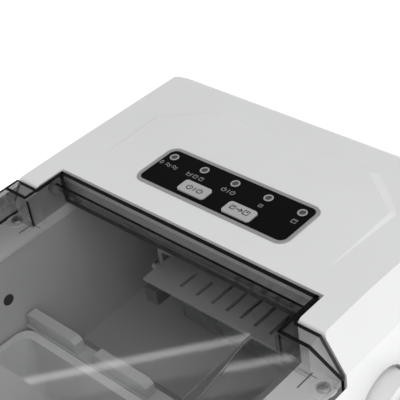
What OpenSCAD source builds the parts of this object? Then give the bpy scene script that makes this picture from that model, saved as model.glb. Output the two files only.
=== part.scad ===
// Countertop ice maker with a smoked lid and a carry handle.
// Millimetres, +Z up. X runs across the front, Y from the front to the back.
// The origin is on the floor, under the middle of the whole outline.
// Every module is written round the middle of the body; at_body() then moves
// it forward, because the folded handle reaches out behind.

/* [Body] */
// Width of the body over its side walls
body_w = 224; // [222:1:228]
// Height from the floor to the flat top
body_h = 300; // [299:1:304]
// Height of the rubber feet
foot_h = 8; // [6:1:9]
// Wall thickness of the housing
wall = 2.4; // [2:0.1:2.6]
// Radius of the four upright corners
corner_r = 16; // [12:1:20]
// Height of the seam between the side panels and the top cover
seam_z = 215; // [212:1:216]

/* [Lid] */
// Wall thickness of the clear lid
lid_wall = 2.5; // [2:0.1:2.8]
// Width of the narrow rear tongue of the lid
lid_tongue_w = 171.6; // [169:0.2:172]

/* [Control panel] */
// Width of the control panel over its bezel
panel_w = 100.6; // [96:0.2:104]
// Depth of the control panel over its bezel
panel_d = 32.3; // [31:0.1:34]
// Width of each push button
button_w = 18; // [15:0.5:19]
// Depth of each push button
button_d = 9; // [8:0.5:9.5]

/* [Ice basket] */
// Height of the basket from its floor to its rim
basket_h = 73; // [60:1:73]
// Width of one slot in the basket walls
basket_slot_w = 5; // [3:0.5:6]

/* [Evaporator] */
// Radius of one freezing finger
finger_r = 4.5; // [4:0.1:4.8]
// Spacing of the fingers in a row
finger_pitch = 17; // [16:0.5:17]

/* [Hidden] */
$fn = 48;

// Body box
body_d = 290;
half_w = body_w / 2;
half_d = body_d / 2;
pan_top = 34;
gap = 0.3;
eps = 0.01;

// Top cover and the lid that lies in it
chamfer_w = 11;
chamfer_h = 19;
ledge_z = body_h - 26;
rail_y = -78;
rail_drop = 50;
nose_y = -147;
mouth_half = 88;
mouth_front = -127;
cheek_y = 14.6;
deck_y = 33.6;
tongue_y = 32.2;
ear_y = 13.5;
skirt_y = 5.6;
skirt_drop = 18.7;
hinge = [24, body_h - 6];
hinge_pin_r = 2.5;
plateau_x = 77.5;
plateau_h = 3.6;
plateau_spread = 8;

// Control panel
panel_c = [1, 65.15];
lens_x = [-42.3, -20.7, 0.4, 22.1, 43.3];
lens_y = 73.8;
lens_r = 1.7;
on_off_at = [-13.8, 58.5];
select_at = [17.1, 57.4];
board_z = body_h - 16;

// Handle; the body moves forward so that the whole outline is centred
pivot = [39.5, body_h - 56.7];
boss_r = 16;
bar_r = 8;
arm_end_r = 10;
arm_len = 131;
arm_angle = -25;
arm_x = [half_w + 1.5, half_w + 9];
pivot_pin_r = 4;
fit_gap = 0.05;
handle_behind = pivot[0] + arm_len * cos(arm_angle) + arm_end_r - half_d;
plug_ahead = 5;
y_mid = -(handle_behind - plug_ahead) / 2;

// Ice chamber
liner_t = 2.4;
liner_half = 88.6;
liner_top_drop = 2.6;
tank_floor = 86;
tank_back = -14.2;
bay_floor = 184;
bay_back = 116;
basket_top = body_h - 77;
tray_axis = [50, body_h - 60];
tray_x = [-30, 64];
shaft_r = 3;
finger_top = body_h - 42;
finger_tip = body_h - 76;
finger_rows = [[62, -17, 5], [78, -8.5, 4]];
drain_at = [60, -117, 52];
pump_at = [40, -60];
nozzle_at = [84, body_h - 52];

// Cooling bay
comp_at = [-50, 75];
comp_r = 46;
fan_at = [80, 76];
cond_x = 83;
cond_rows = [114, 96, 78, 60, 42];
pipe_r = 3.4;
drier_at = [134, 42];

module at_body() {
    translate([0, y_mid, 0]) children();
}

// ---------- shared shapes ----------

// Upright block with rounded corners in plan, centred on the origin
module plan_block(w, d, r, z0, z1) {
    translate([0, 0, z0]) linear_extrude(z1 - z0) plan_outline(w, d, r);
}

module plan_outline(w, d, r) {
    square([w - 2 * r, d], center = true);
    square([w, d - 2 * r], center = true);
    for (sx = [-1, 1], sy = [-1, 1]) {
        translate([sx * (w / 2 - r), sy * (d / 2 - r)]) circle(r);
    }
}

// Box given by its lowest and highest corners
module box(a, b) {
    translate(a) cube(b - a);
}

// Cylinder along X between two x values
module rod_x(x0, x1, y, z, r) {
    translate([x0, y, z]) rotate([0, 90, 0]) cylinder(h = x1 - x0, r = r);
}

// Cylinder along Y between two y values
module rod_y(y0, y1, x, z, r) {
    translate([x, y0, z]) rotate([-90, 0, 0]) cylinder(h = y1 - y0, r = r);
}

// Cylinder along Z between two heights
module rod_z(z0, z1, x, y, r) {
    translate([x, y, z0]) cylinder(h = z1 - z0, r = r);
}

// A side outline given in Y and Z, drawn out along X between -half and +half
module across(half, points) {
    rotate([90, 0, 90]) translate([0, 0, -half]) linear_extrude(2 * half) polygon(points);
}

// A front outline given in X and Z, drawn out along Y from y0 to y1
module along(y0, y1, points) {
    translate([0, y1, 0]) rotate([90, 0, 0]) linear_extrude(y1 - y0) polygon(points);
}

module both_sides() {
    children();
    mirror([1, 0, 0]) children();
}

// ---------- round tube swept along a path ----------

function unit(v) = v / norm(v);

function bend(a, b, c, r, n = 4) =
    let (p = b + unit(a - b) * r, q = b + unit(c - b) * r)
    [for (i = [0 : n]) let (t = i / n) (1 - t) * (1 - t) * p + 2 * t * (1 - t) * b + t * t * q];

function rounded_path(pts, r) = concat(
    [pts[0]],
    [for (i = [1 : len(pts) - 2]) each bend(pts[i - 1], pts[i], pts[i + 1], r)],
    [pts[len(pts) - 1]]);

function tangent_at(p, i) =
    let (n = len(p) - 1)
    unit(p[min(i + 1, n)] - p[max(i - 1, 0)]);

function square_to(v, t) = unit(v - (v * t) * t);

function any_normal(t) = square_to(abs(t[2]) < 0.8 ? [0, 0, 1] : [1, 0, 0], t);

function carried_normals(p, i) =
    i == 0 ? [any_normal(tangent_at(p, 0))]
    : let (before = carried_normals(p, i - 1))
      concat(before, [square_to(before[i - 1], tangent_at(p, i))]);

module tube_along(p, r, sides = 8) {
    n = len(p);
    normals = carried_normals(p, n - 1);
    rings = [for (i = [0 : n - 1]) let (t = tangent_at(p, i), u = normals[i], v = cross(t, u))
        for (k = [0 : sides - 1]) p[i] + r * (cos(360 * k / sides) * u + sin(360 * k / sides) * v)];
    walls = [for (i = [0 : n - 2], k = [0 : sides - 1]) let (m = (k + 1) % sides)
        [i * sides + k, (i + 1) * sides + k, (i + 1) * sides + m, i * sides + m]];
    first = [for (k = [0 : sides - 1]) k];
    last = [for (k = [sides - 1 : -1 : 0]) (n - 1) * sides + k];
    polyhedron(rings, concat(walls, [first, last]));
}

// ---------- outer housing ----------

module rubber_feet() color("dimgray") at_body() {
    for (x = [-92, 92], y = [-120, 120]) {
        translate([x, y, 0]) cylinder(h = foot_h, r1 = 10, r2 = 11.5);
    }
}

module base_pan() color("gainsboro") at_body() {
    difference() {
        plan_block(body_w - 2, body_d - 2, corner_r - 1, foot_h, pan_top);
        plan_block(body_w - 8, body_d - 8, corner_r - 4, foot_h + 3, pan_top + 1);
        for (i = [0 : 7]) {
            box([66 + 4.4 * i, 40, foot_h - 1], [68.2 + 4.4 * i, 120, foot_h + 4]);
        }
    }
}

// Upright ring of the housing walls between the pan and the top cover
module wall_ring() {
    difference() {
        plan_block(body_w, body_d, corner_r, pan_top, seam_z);
        plan_block(body_w - 2 * wall, body_d - 2 * wall, corner_r - wall, pan_top - 1, seam_z + 1);
    }
}

split_y = 126;

module front_panel() color("white") at_body() {
    difference() {
        intersection() {
            wall_ring();
            box([-half_w - 1, -half_d - 1, 0], [half_w + 1, -split_y - gap, body_h]);
        }
        rod_y(-half_d - 1, -half_d + 4, drain_at[0], drain_at[2], 7.2);
    }
}

module side_vents(x) {
    for (i = [0 : 8], j = [0 : 1]) {
        box([x - 4, 34 + 10 * i, 46 + 42 * j], [x + 4, 39 + 10 * i, 80 + 42 * j]);
    }
}

module side_panel(x) {
    difference() {
        intersection() {
            wall_ring();
            box([x > 0 ? 0 : -half_w - 1, -split_y + gap, 0],
                [x > 0 ? half_w + 1 : 0, split_y - gap, body_h]);
        }
        side_vents(x);
    }
}

module left_side_panel() color("white") at_body() side_panel(-half_w);

module right_side_panel() color("white") at_body() side_panel(half_w);

rear_screws = [[-92, 46], [92, 46], [-92, 200], [92, 200]];
gland_at = [-78, 58];

module rear_panel() color("white") at_body() {
    difference() {
        intersection() {
            wall_ring();
            box([-half_w - 1, split_y + gap, 0], [half_w + 1, half_d + 1, body_h]);
        }
        for (i = [0 : 13]) {
            box([-65 + 10 * i, half_d - 5, 128], [-60 + 10 * i, half_d + 1, 182]);
        }
        rod_y(half_d - 5, half_d + 1, gland_at[0], gland_at[1], 6);
        for (s = rear_screws) {
            rod_y(half_d - 5, half_d + 1, s[0], s[1], 1.6);
        }
    }
}

module rear_screw() {
    rotate([-90, 0, 0]) cylinder(h = 1.8, r1 = 3.6, r2 = 2.8);
    rotate([90, 0, 0]) cylinder(h = 9, r = 1.5);
}

lid_screw_at = [104.2, 8.2];

module housing_screws() color("silver") at_body() {
    for (s = rear_screws) {
        translate([s[0], half_d, s[1]]) rear_screw();
    }
    both_sides() translate([lid_screw_at[0], lid_screw_at[1], ledge_z]) {
        cylinder(h = 1.6, r = 3.2);
        translate([0, 0, -8]) cylinder(h = 8, r = 1.5);
    }
}

module cord_gland() color("dimgray") at_body() {
    translate([gland_at[0], half_d, gland_at[1]]) rotate([-90, 0, 0]) {
        difference() {
            union() {
                cylinder(h = 3, r1 = 9.5, r2 = 8);
                translate([0, 0, -6]) cylinder(h = 6, r = 5.95);
            }
            translate([0, 0, -7]) cylinder(h = 12, r = 3.6);
        }
    }
}

module drain_spout() color("lightgray") at_body() {
    difference() {
        union() {
            rod_z(drain_at[2], tank_floor - liner_t, drain_at[0], drain_at[1], 7);
            rod_y(-half_d - 1, drain_at[1], drain_at[0], drain_at[2], 7);
            translate(drain_at) sphere(7);
        }
        rod_z(drain_at[2], tank_floor, drain_at[0], drain_at[1], 4.5);
        rod_y(-half_d - 2, drain_at[1], drain_at[0], drain_at[2], 4.5);
        translate(drain_at) sphere(4.5);
    }
}

module drain_plug() color("dimgray") at_body() {
    translate([drain_at[0], -half_d - 1 - gap, drain_at[2]]) rotate([90, 0, 0]) {
        cylinder(h = 2, r = 11);
        translate([0, 0, 2]) cylinder(h = 1.7, r1 = 8, r2 = 7);
        translate([0, 0, -14]) cylinder(h = 14, r = 4.5 - fit_gap);
    }
}

// ---------- top cover ----------

// Front view of the cover, drawn in by inset
function cover_front(inset) = [
    [-half_w + inset, seam_z],
    [half_w - inset, seam_z],
    [half_w - inset, body_h - chamfer_h - inset / 2],
    [half_w - chamfer_w - inset / 2, body_h - inset],
    [-half_w + chamfer_w + inset / 2, body_h - inset],
    [-half_w + inset, body_h - chamfer_h - inset / 2]];

// Side view of the cover: the rim that carries the lid is low, the deck behind is high
function cover_side(drop) = [
    [-half_d - 1, seam_z - 2],
    [-half_d - 1, ledge_z - rail_drop * (half_d + 1 + rail_y) / (rail_y - nose_y) - drop],
    [rail_y, ledge_z - drop],
    [cheek_y + drop, ledge_z - drop],
    [cheek_y + drop, body_h + 1 - drop],
    [half_d + 1, body_h + 1 - drop],
    [half_d + 1, seam_z - 2]];

// Side view that rounds the back edge and lets the deck fall a little to the back
function back_round(r, inset) = concat(
    [[-half_d - 2, seam_z - 1], [-half_d - 2, body_h - inset], [48, body_h - inset]],
    [for (a = [90 : -15 : 0])
        [half_d - inset - r + r * cos(a), body_h - 2.2 - inset - r + r * sin(a)]],
    [[half_d - inset, seam_z - 1]]);

module cover_block(inset) {
    intersection() {
        along(-half_d, half_d, cover_front(inset));
        plan_block(body_w - 2 * inset, body_d - 2 * inset, corner_r - inset, seam_z - eps, body_h + 1);
        across(half_w + 1, back_round(9 - inset, inset));
        rear_corners(inset);
        across(half_w + 1, cover_side(inset));
    }
}

// The two rear corners are rounder at the top, as cones that lean inwards
module rear_corners(inset) {
    hull() {
        plan_block(body_w - 2 * inset, body_d - 2 * inset, corner_r - inset, seam_z - 1, body_h - 24);
        translate([0, -30, 0])
            plan_block(body_w + 20 - 2 * inset, body_d + 60 - 2 * inset - 2, 46, body_h, body_h + 1);
    }
    box([-half_w, -half_d, seam_z - 1], [half_w, 60, body_h + 1]);
}

// Raised octagon on the deck, level with the lid
module plateau() {
    intersection() {
        hull() {
            translate([0, 0, body_h - plateau_h]) linear_extrude(eps) plateau_outline(plateau_spread);
            translate([0, 0, body_h - eps]) linear_extrude(eps) plateau_outline(0);
        }
        box([-half_w, 40, body_h - plateau_h], [half_w, half_d, body_h]);
    }
}

module plateau_outline(grown) {
    x = plateau_x + grown;
    polygon([[-x, 40], [-x, 97 + grown / 2], [-x + 27, 117.5 + grown], [x - 27, 117.5 + grown],
        [x, 97 + grown / 2], [x, 40]]);
}

module cheek_round() {
    // Rounds the front top edge of the cheeks beside the lid hinge
    difference() {
        box([-half_w, cheek_y - 1, body_h - 3], [half_w, cheek_y + 3, body_h + 1]);
        rod_x(-half_w - 1, half_w + 1, cheek_y + 3, body_h - 3, 3);
    }
}

module stem_hole(at) {
    rod_z(body_h - 5, body_h + 1, at[0], at[1], 3.2);
}

// Inside of the cover, less the walls, pads and posts that stand in it
module cover_hollow() {
    difference() {
        translate([0, 0, -eps]) cover_block(wall);
        both_sides() {
            box([mouth_half - 1, cheek_y, ledge_z - 2.6], [mouth_half + 1.4, deck_y + wall, body_h]);
            rod_x(105.4, half_w, pivot[0], pivot[1], boss_r + 4);
            rod_z(ledge_z - 9, ledge_z, lid_screw_at[0], lid_screw_at[1], 3.4);
        }
        box([-mouth_half, deck_y, body_h - 15], [mouth_half, deck_y + wall, body_h]);
        for (x = [-43, 45], y = [54, 66]) {
            rod_z(board_z + 1.6, body_h, x, y, 2.5);
        }
    }
}

module top_cover() color("white") at_body() {
    difference() {
        union() {
            cover_block(0);
            plateau();
        }
        cover_hollow();
        // mouth of the ice chamber
        box([-mouth_half + 1, mouth_front, seam_z - 1], [mouth_half - 1, deck_y, body_h + 1]);
        // pockets of the handle
        both_sides() rod_x(108, half_w + 1, pivot[0], pivot[1], boss_r + 2);
        both_sides() rod_x(100, half_w + 1, pivot[0], pivot[1], pivot_pin_r);
        // holes of the hinge pins and the two ledge screws
        rod_x(-96, 96, hinge[0], hinge[1], hinge_pin_r);
        both_sides() rod_z(ledge_z - 12, ledge_z + 1, lid_screw_at[0], lid_screw_at[1], 1.6);
        // pocket and holes of the control panel
        translate([panel_c[0], panel_c[1], 0])
            plan_block(panel_w + 0.2, panel_d + 0.2, 6, body_h - 1.2, body_h + 1);
        stem_hole(on_off_at);
        stem_hole(select_at);
        for (x = lens_x) {
            rod_z(body_h - 5, body_h + 1, x, lens_y, 1.5);
        }
        cheek_round();
    }
}

// ---------- control panel ----------

module panel_bezel() color("silver") at_body() {
    translate([panel_c[0], panel_c[1], 0]) difference() {
        plan_block(panel_w, panel_d, 6, body_h - 1.2, body_h + 0.5);
        plan_block(panel_w - 4, panel_d - 4, 4, body_h - 2, body_h + 1);
    }
}

module panel_overlay() color("black") at_body() {
    difference() {
        translate([panel_c[0], panel_c[1], 0])
            plan_block(panel_w - 4.1, panel_d - 4.1, 4, body_h - 1.2, body_h + 0.1);
        for (at = [on_off_at, select_at]) {
            translate([at[0], at[1], 0])
                plan_block(button_w + 0.6, button_d + 0.6, 2.3, body_h - 2, body_h + 1);
        }
        for (x = lens_x) {
            rod_z(body_h - 2, body_h + 1, x, lens_y, lens_r);
        }
    }
}

module button(at) {
    translate([at[0], at[1], 0]) {
        plan_block(button_w, button_d, 2, body_h - 0.4, body_h + 1);
        rod_z(body_h - 10, body_h - 0.4, 0, 0, 2.6);
    }
}

module on_off_button() color("lightgray") at_body() button(on_off_at);

module select_button() color("lightgray") at_body() button(select_at);

module indicator_rings() color("gray") at_body() {
    for (x = lens_x) {
        difference() {
            rod_z(body_h + 0.1, body_h + 0.45, x, lens_y, 2.6);
            rod_z(body_h, body_h + 1, x, lens_y, lens_r);
        }
    }
}

module indicator_lenses() color("darkgray") at_body() {
    for (x = lens_x) {
        rod_z(body_h - 1.2, body_h + 0.3, x, lens_y, lens_r);
    }
}

module control_board() color("green") at_body() {
    box([-46, 51, board_z], [48, 79, board_z + 1.6]);
}

module tact_switches() color("black") at_body() {
    for (at = [on_off_at, select_at]) {
        translate([at[0], at[1], board_z + 1.6]) {
            translate([-3, -3, 0]) cube([6, 6, 2.4]);
            translate([0, 0, 2.4]) cylinder(h = 1.2, r = 1.7);
        }
    }
}

module status_leds() color("palegreen") at_body() {
    for (x = lens_x) {
        translate([x, lens_y, board_z + 1.6]) {
            cylinder(h = 1, r = 1.9);
            translate([0, 0, 1]) cylinder(h = 4, r = 1.45);
        }
    }
}

module board_splash_cover() color("white") at_body() {
    difference() {
        box([-54, 46, board_z - 4], [56, 84, body_h - wall - 1.8]);
        box([-52, 48, board_z - 2], [54, 82, body_h]);
        // the loom comes in through a notch in the left wall
        box([-55, 61, board_z - 2], [-51, 71, body_h]);
    }
}

// ---------- lid ----------

// Front view of the lid, drawn in by inset; open below
function lid_front(inset) = [
    [-half_w + inset, ledge_z + 0.4],
    [half_w - inset, ledge_z + 0.4],
    [half_w - inset, body_h - chamfer_h - inset / 2],
    [half_w - chamfer_w - inset / 2, body_h - inset],
    [-half_w + chamfer_w + inset / 2, body_h - inset],
    [-half_w + inset, body_h - chamfer_h - inset / 2]];

module lid_slice(y, drop, inset) {
    translate([0, y, -drop]) rotate([90, 0, 0]) linear_extrude(eps) polygon(lid_front(inset));
}

module lid_nose(inset, y_end) {
    hull() {
        lid_slice(rail_y + eps, 0, inset);
        lid_slice(y_end, rail_drop * (rail_y - y_end) / (rail_y - nose_y), inset);
    }
}

// Flat part and sloping nose, with the plan corners of the body; a cross rib is left at skirt_y
module lid_shell(inset) {
    intersection() {
        translate([0, 0, inset > 0 ? -eps : 0]) union() {
            along(rail_y - eps, inset > 0 ? skirt_y - 2 : ear_y, lid_front(inset));
            if (inset > 0) {
                along(skirt_y, ear_y + 1, lid_front(inset));
            }
            lid_nose(inset, nose_y + inset);
        }
        plan_block(body_w - 2 * inset, -2 * (nose_y + inset), corner_r - inset, seam_z, body_h + 1);
    }
}

module lid_tongue() {
    difference() {
        union() {
            box([-lid_tongue_w / 2, skirt_y, body_h - skirt_drop],
                [lid_tongue_w / 2, tongue_y - 2.5, body_h]);
            box([-lid_tongue_w / 2, skirt_y, body_h - skirt_drop],
                [lid_tongue_w / 2, tongue_y, body_h - 2.5]);
            rod_x(-lid_tongue_w / 2, lid_tongue_w / 2, tongue_y - 2.5, body_h - 2.5, 2.5);
        }
        box([-lid_tongue_w / 2 + 2, skirt_y - 1, body_h - 30],
            [lid_tongue_w / 2 - 2, tongue_y - 2, body_h - lid_wall]);
    }
}

module lid() color("dimgray", 0.5) at_body() {
    difference() {
        union() {
            difference() {
                lid_shell(0);
                lid_shell(lid_wall);
                // the cross rib behind the nose is open in the middle and stops short of the ledge
                box([-mouth_half + 5, skirt_y - 3, ledge_z - 1],
                    [mouth_half - 5, ear_y + 1, body_h - lid_wall]);
                box([-half_w + lid_wall, skirt_y - 3, ledge_z - 1],
                    [half_w - lid_wall, ear_y + 1, body_h - skirt_drop]);
            }
            lid_tongue();
        }
        rod_x(-lid_tongue_w / 2 - 1, lid_tongue_w / 2 + 1, hinge[0], hinge[1], hinge_pin_r + fit_gap);
    }
}

module lid_hinge_pins() color("silver") at_body() {
    both_sides() rod_x(lid_tongue_w / 2 - 4, 94, hinge[0], hinge[1], hinge_pin_r);
}

// ---------- carry handle ----------

module handle_arm_outline() {
    circle(boss_r - 2);
    polygon([[0, -9.5], [0, 9.5], [arm_len, 8.5], [arm_len, -8.5]]);
    translate([arm_len, 0]) circle(arm_end_r);
}

module handle_arm() {
    translate([arm_x[0], pivot[0], pivot[1]]) rotate([arm_angle, 0, 0]) rotate([90, 0, 90])
        linear_extrude(arm_x[1] - arm_x[0]) handle_arm_outline();
}

module carry_handle() color("whitesmoke") at_body() {
    difference() {
        union() {
            both_sides() {
                handle_arm();
                rod_x(109, half_w + 10, pivot[0], pivot[1], boss_r);
            }
            translate([0, pivot[0], pivot[1]]) rotate([arm_angle, 0, 0]) {
                rod_x(-arm_x[1], arm_x[1], arm_len, 0, bar_r);
            }
        }
        rod_x(-half_w - 20, half_w + 20, pivot[0], pivot[1], pivot_pin_r + fit_gap);
    }
}

module handle_pivot_pins() color("silver") at_body() {
    both_sides() {
        rod_x(103, half_w + 10.3, pivot[0], pivot[1], pivot_pin_r);
        rod_x(103, 105.4, pivot[0], pivot[1], pivot_pin_r + 3);
        rod_x(half_w + 10.3, half_w + 12, pivot[0], pivot[1], pivot_pin_r + 4);
    }
}

// ---------- ice chamber ----------

// Side view of the liner's hollow: tank in front, freezing bay behind a sloping weir
tank_hollow = [[mouth_front, tank_floor], [tank_back, tank_floor],
    [tank_back, body_h], [mouth_front, body_h]];
bay_hollow = [[-5, body_h - 78], [20, bay_floor], [bay_back, bay_floor + 4],
    [bay_back, body_h], [-5, body_h]];
open_over = [[tank_back - eps, body_h - 78], [-4, body_h - 78], [-4, body_h], [tank_back - eps, body_h]];
liner_block = [
    [mouth_front - liner_t, tank_floor - liner_t],
    [tank_back + 4, tank_floor - liner_t],
    [tank_back + 4, bay_floor + 10],
    [16, bay_floor - liner_t],
    [bay_back + liner_t, bay_floor + 1.6],
    [bay_back + liner_t, body_h],
    [mouth_front - liner_t, body_h]];

module under_rim() {
    intersection() {
        across(half_w, cover_side(liner_top_drop));
        box([-half_w, -half_d, 0], [half_w, half_d, ledge_z - liner_top_drop]);
    }
    box([-half_w, mouth_front - 20, 60], [half_w, half_d, seam_z]);
}

tab_spans = [[-86.5, -47], [-33, 6]];

module inner_liner() color("white") at_body() {
    difference() {
        intersection() {
            across(liner_half + liner_t, liner_block);
            under_rim();
        }
        across(liner_half, tank_hollow);
        across(liner_half, bay_hollow);
        across(liner_half, open_over);
        // drain, pump inlet, sensor windows, water nozzle and weir outlet
        rod_z(tank_floor - 5, tank_floor + 1, drain_at[0], drain_at[1], 4.5);
        rod_z(tank_floor - 5, tank_floor + 1, pump_at[0], pump_at[1], 4);
        rod_x(-100, 100, -19.5, body_h - 55, 3.4);
        rod_x(60, 100, nozzle_at[0], nozzle_at[1], 4.4);
        box([-20, tank_back - 3, bay_floor + 1], [20, 24, bay_floor + 6]);
    }
    // stops behind the basket rim
    for (s = tab_spans) {
        along(-13, -7, [[s[0], body_h - 78], [s[1], body_h - 78], [s[1], body_h - 71],
            [s[1] - 3, body_h - 69], [s[0] + 1, body_h - 69], [s[0], body_h - 71]]);
    }
    // ledges that carry the basket
    both_sides() for (y = [-112, -40]) {
        box([80, y, basket_top - basket_h - 10], [liner_half + 1, y + 16, basket_top - basket_h - 0.1]);
    }
    // bearing arm of the tray shaft, out from the rear wall of the bay
    difference() {
        box([-42, tray_axis[0] - 5, tray_axis[1] - 6], [-39.4, bay_back + 1, tray_axis[1] + 5]);
        rod_x(-50, -30, tray_axis[0], tray_axis[1], shaft_r + fit_gap);
    }
}

module foam_insulation() color("lightyellow") at_body() {
    both_sides() box([liner_half + liner_t + 0.4, -124, tank_floor], [half_w - wall - 1, -28, 222]);
    box([-liner_half, mouth_front - liner_t - 12, tank_floor],
        [liner_half, mouth_front - liner_t - 0.4, seam_z]);
}

basket_box = [[-84, -122], [84, -18]];
basket_slot_top = basket_top - basket_h + 20;

module basket_slots_x() {
    for (i = [0 : 13]) {
        box([-76.5 + 11.4 * i, -140, basket_top - basket_h + 5],
            [-76.5 + 11.4 * i + basket_slot_w, 0, basket_slot_top]);
    }
}

module basket_slots_y() {
    for (i = [0 : 7]) {
        box([-100, -114 + 11.8 * i, basket_top - basket_h + 5],
            [100, -114 + 11.8 * i + basket_slot_w, basket_slot_top]);
    }
}

module basket_floor_slots() {
    for (i = [0 : 13], j = [0 : 1]) {
        box([-76.5 + 11.4 * i, -112 + 46 * j, basket_top - basket_h - 1],
            [-76.5 + 11.4 * i + basket_slot_w, -76 + 46 * j, basket_top - basket_h + 4]);
    }
}

module ice_basket() color("gainsboro") at_body() {
    floor_z = basket_top - basket_h;
    middle_y = (basket_box[0][1] + basket_box[1][1]) / 2;
    difference() {
        union() {
            translate([0, middle_y, 0]) plan_block(168, 104, 9, floor_z, basket_top);
            translate([0, -70.3, 0]) plan_block(173, 110.6, 9, basket_top - 2, basket_top);
        }
        translate([0, middle_y, 0]) plan_block(164, 100, 7, floor_z + 2, basket_top + 1);
        basket_slots_x();
        basket_slots_y();
        basket_floor_slots();
    }
}

module ir_sensor(x) {
    rod_x(min(x, x * 1.13), max(x, x * 1.13), -19.5, body_h - 55, 3.35);
}

module ir_emitter() color("black") at_body() ir_sensor(-liner_half);

module ir_receiver() color("black") at_body() ir_sensor(liner_half);

// ---------- freezing bay ----------

module evaporator_plate() color("silver") at_body() {
    difference() {
        union() {
            box([-28, 55, finger_top], [62, 85, finger_top + 8]);
            for (x = [-24, 50]) {
                box([x, 85, finger_top + 2], [x + 8, bay_back - 0.2, finger_top + 6]);
            }
        }
        for (row = finger_rows, i = [0 : row[2] - 1]) {
            rod_z(finger_top - 1, finger_top + 4, row[1] + finger_pitch * i, row[0], finger_r);
        }
    }
}

module evaporator_fingers() color("silver") at_body() {
    for (row = finger_rows, i = [0 : row[2] - 1]) {
        translate([row[1] + finger_pitch * i, row[0], 0]) {
            rod_z(finger_tip + finger_r, finger_top + 4, 0, 0, finger_r);
            translate([0, 0, finger_tip]) cylinder(h = finger_r, r1 = finger_r * 0.45, r2 = finger_r);
        }
    }
}

tube_z = finger_top + 8 + pipe_r + 0.1;
evaporator_path = [[-22, 106, tube_z], [-22, 62, tube_z], [56, 62, tube_z], [56, 78, tube_z],
    [-8, 78, tube_z], [-8, 106, tube_z]];

module evaporator_tube() color("peru") at_body() {
    tube_along(rounded_path(evaporator_path, 6), pipe_r);
}

module water_tray() color("aliceblue") at_body() {
    y0 = tray_axis[0];
    z0 = tray_axis[1];
    difference() {
        union() {
            box([tray_x[0], y0, z0 - 30], [tray_x[1], y0 + 44, z0]);
            rod_x(tray_x[0], tray_x[1], y0, z0, 5.5);
        }
        box([tray_x[0] + 2, y0 + 5.7, z0 - 28], [tray_x[1] - 2, y0 + 42, z0 + 8]);
        rod_x(tray_x[0] - 1, tray_x[1] + 1, y0, z0, shaft_r);
    }
}

module tray_shaft() color("silver") at_body() {
    rod_x(-46, 76, tray_axis[0], tray_axis[1], shaft_r);
}

shovel_slots = [[-5.1, 43.6], [6.1, 43.6], [16.6, 50], [26.1, 50], [35.4, 50], [44.5, 50], [54.1, 50]];

module ice_shovel() color("darkgray") at_body() {
    y0 = tray_axis[0];
    z0 = tray_axis[1];
    difference() {
        union() {
            box([-26, 24.5, z0 + 18], [84, 54.5, z0 + 20]);
            box([-37, 46, z0 + 18], [-25, 54.5, z0 + 20]);
            for (x = [-37, 67]) {
                box([x, y0 - 4, z0], [x + 3, y0 + 4, z0 + 19]);
                rod_x(x, x + 3, y0, z0, 7);
            }
        }
        for (s = shovel_slots) {
            box([s[0] - 1, 30.6, z0 + 17], [s[0] + 1, s[1], z0 + 21]);
        }
        rod_x(-40, 80, y0, z0, shaft_r + fit_gap);
    }
}

module tray_gearmotor() color("lightgray") at_body() {
    difference() {
        union() {
            rod_x(73, liner_half - 0.1, tray_axis[0], tray_axis[1], 16);
            rod_x(72, 73, tray_axis[0], tray_axis[1], 8);
        }
        rod_x(71, 78, tray_axis[0], tray_axis[1], shaft_r + fit_gap);
    }
}

module tray_limit_switch() color("black") at_body() {
    box([-52, 44, tray_axis[1] - 24], [-43, 60, tray_axis[1] - 14]);
    box([-49, 60, tray_axis[1] - 20], [-47, 61.5, tray_axis[1] - 18]);
}

// ---------- water pump ----------

module pump_body() color("dimgray") at_body() {
    translate([pump_at[0], pump_at[1], 0]) difference() {
        union() {
            rod_z(foot_h + 3, 30, 0, 0, 16);
            rod_z(30, 52, 0, 0, 20);
            rod_z(52, tank_floor - liner_t, 0, 0, 6);
            rod_y(10, 30, 12, 40, 5);
        }
        rod_z(34, 47, 0, 0, 15);
        rod_z(46, tank_floor, 0, 0, 4);
        rod_y(10, 31, 12, 40, 3);
        rod_z(28, 35, 0, 0, 2);
    }
}

module pump_impeller() color("white") at_body() {
    translate([pump_at[0], pump_at[1], 0]) {
        rod_z(35.5, 37.5, 0, 0, 13.5);
        rod_z(37.5, 45, 0, 0, 4.5);
        rod_z(29, 35.5, 0, 0, 2 - fit_gap);
        for (a = [0 : 60 : 300]) {
            rotate([0, 0, a]) box([4, -0.8, 37.5], [13, 0.8, 44]);
        }
    }
}

module inlet_strainer() color("gray") at_body() {
    translate([pump_at[0], pump_at[1], tank_floor]) difference() {
        cylinder(h = 9, r1 = 13, r2 = 10);
        translate([0, 0, -1]) cylinder(h = 8, r = 8);
        for (a = [0 : 30 : 330]) {
            rotate([0, 0, a]) box([6, -1, 2], [14, 1, 6]);
        }
    }
}

hose_path = [[52, -29.8, 40], [52, -6, 40], [99, -6, 40], [99, -6, 202], [99, 84, 202],
    [99, 84, 248], [58, 84, 248]];

module water_hose() color("whitesmoke") at_body() {
    tube_along(rounded_path(hose_path, 9), 4);
}

// ---------- compressor ----------

module compressor_shell() color("black") at_body() {
    translate([comp_at[0], comp_at[1], 0]) rotate_extrude() difference() {
        polygon([[0, 24], [34, 24], [42, 30], [comp_r, 40], [comp_r, 132], [42, 143], [30, 149], [0, 151]]);
        polygon([[0, 27], [33, 27], [40, 32.5], [comp_r - 3, 41], [comp_r - 3, 131], [40, 140.5],
            [29, 146], [0, 148]]);
    }
}

module compressor_motor() color("saddlebrown") at_body() {
    rod_z(27.2, 100, comp_at[0], comp_at[1], 30);
    rod_z(100, 134, comp_at[0], comp_at[1], 22);
}

mount_x = [comp_at[0] - 48, comp_at[0] + 48];
mount_y = [comp_at[1] - 38, comp_at[1] + 38];

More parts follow.
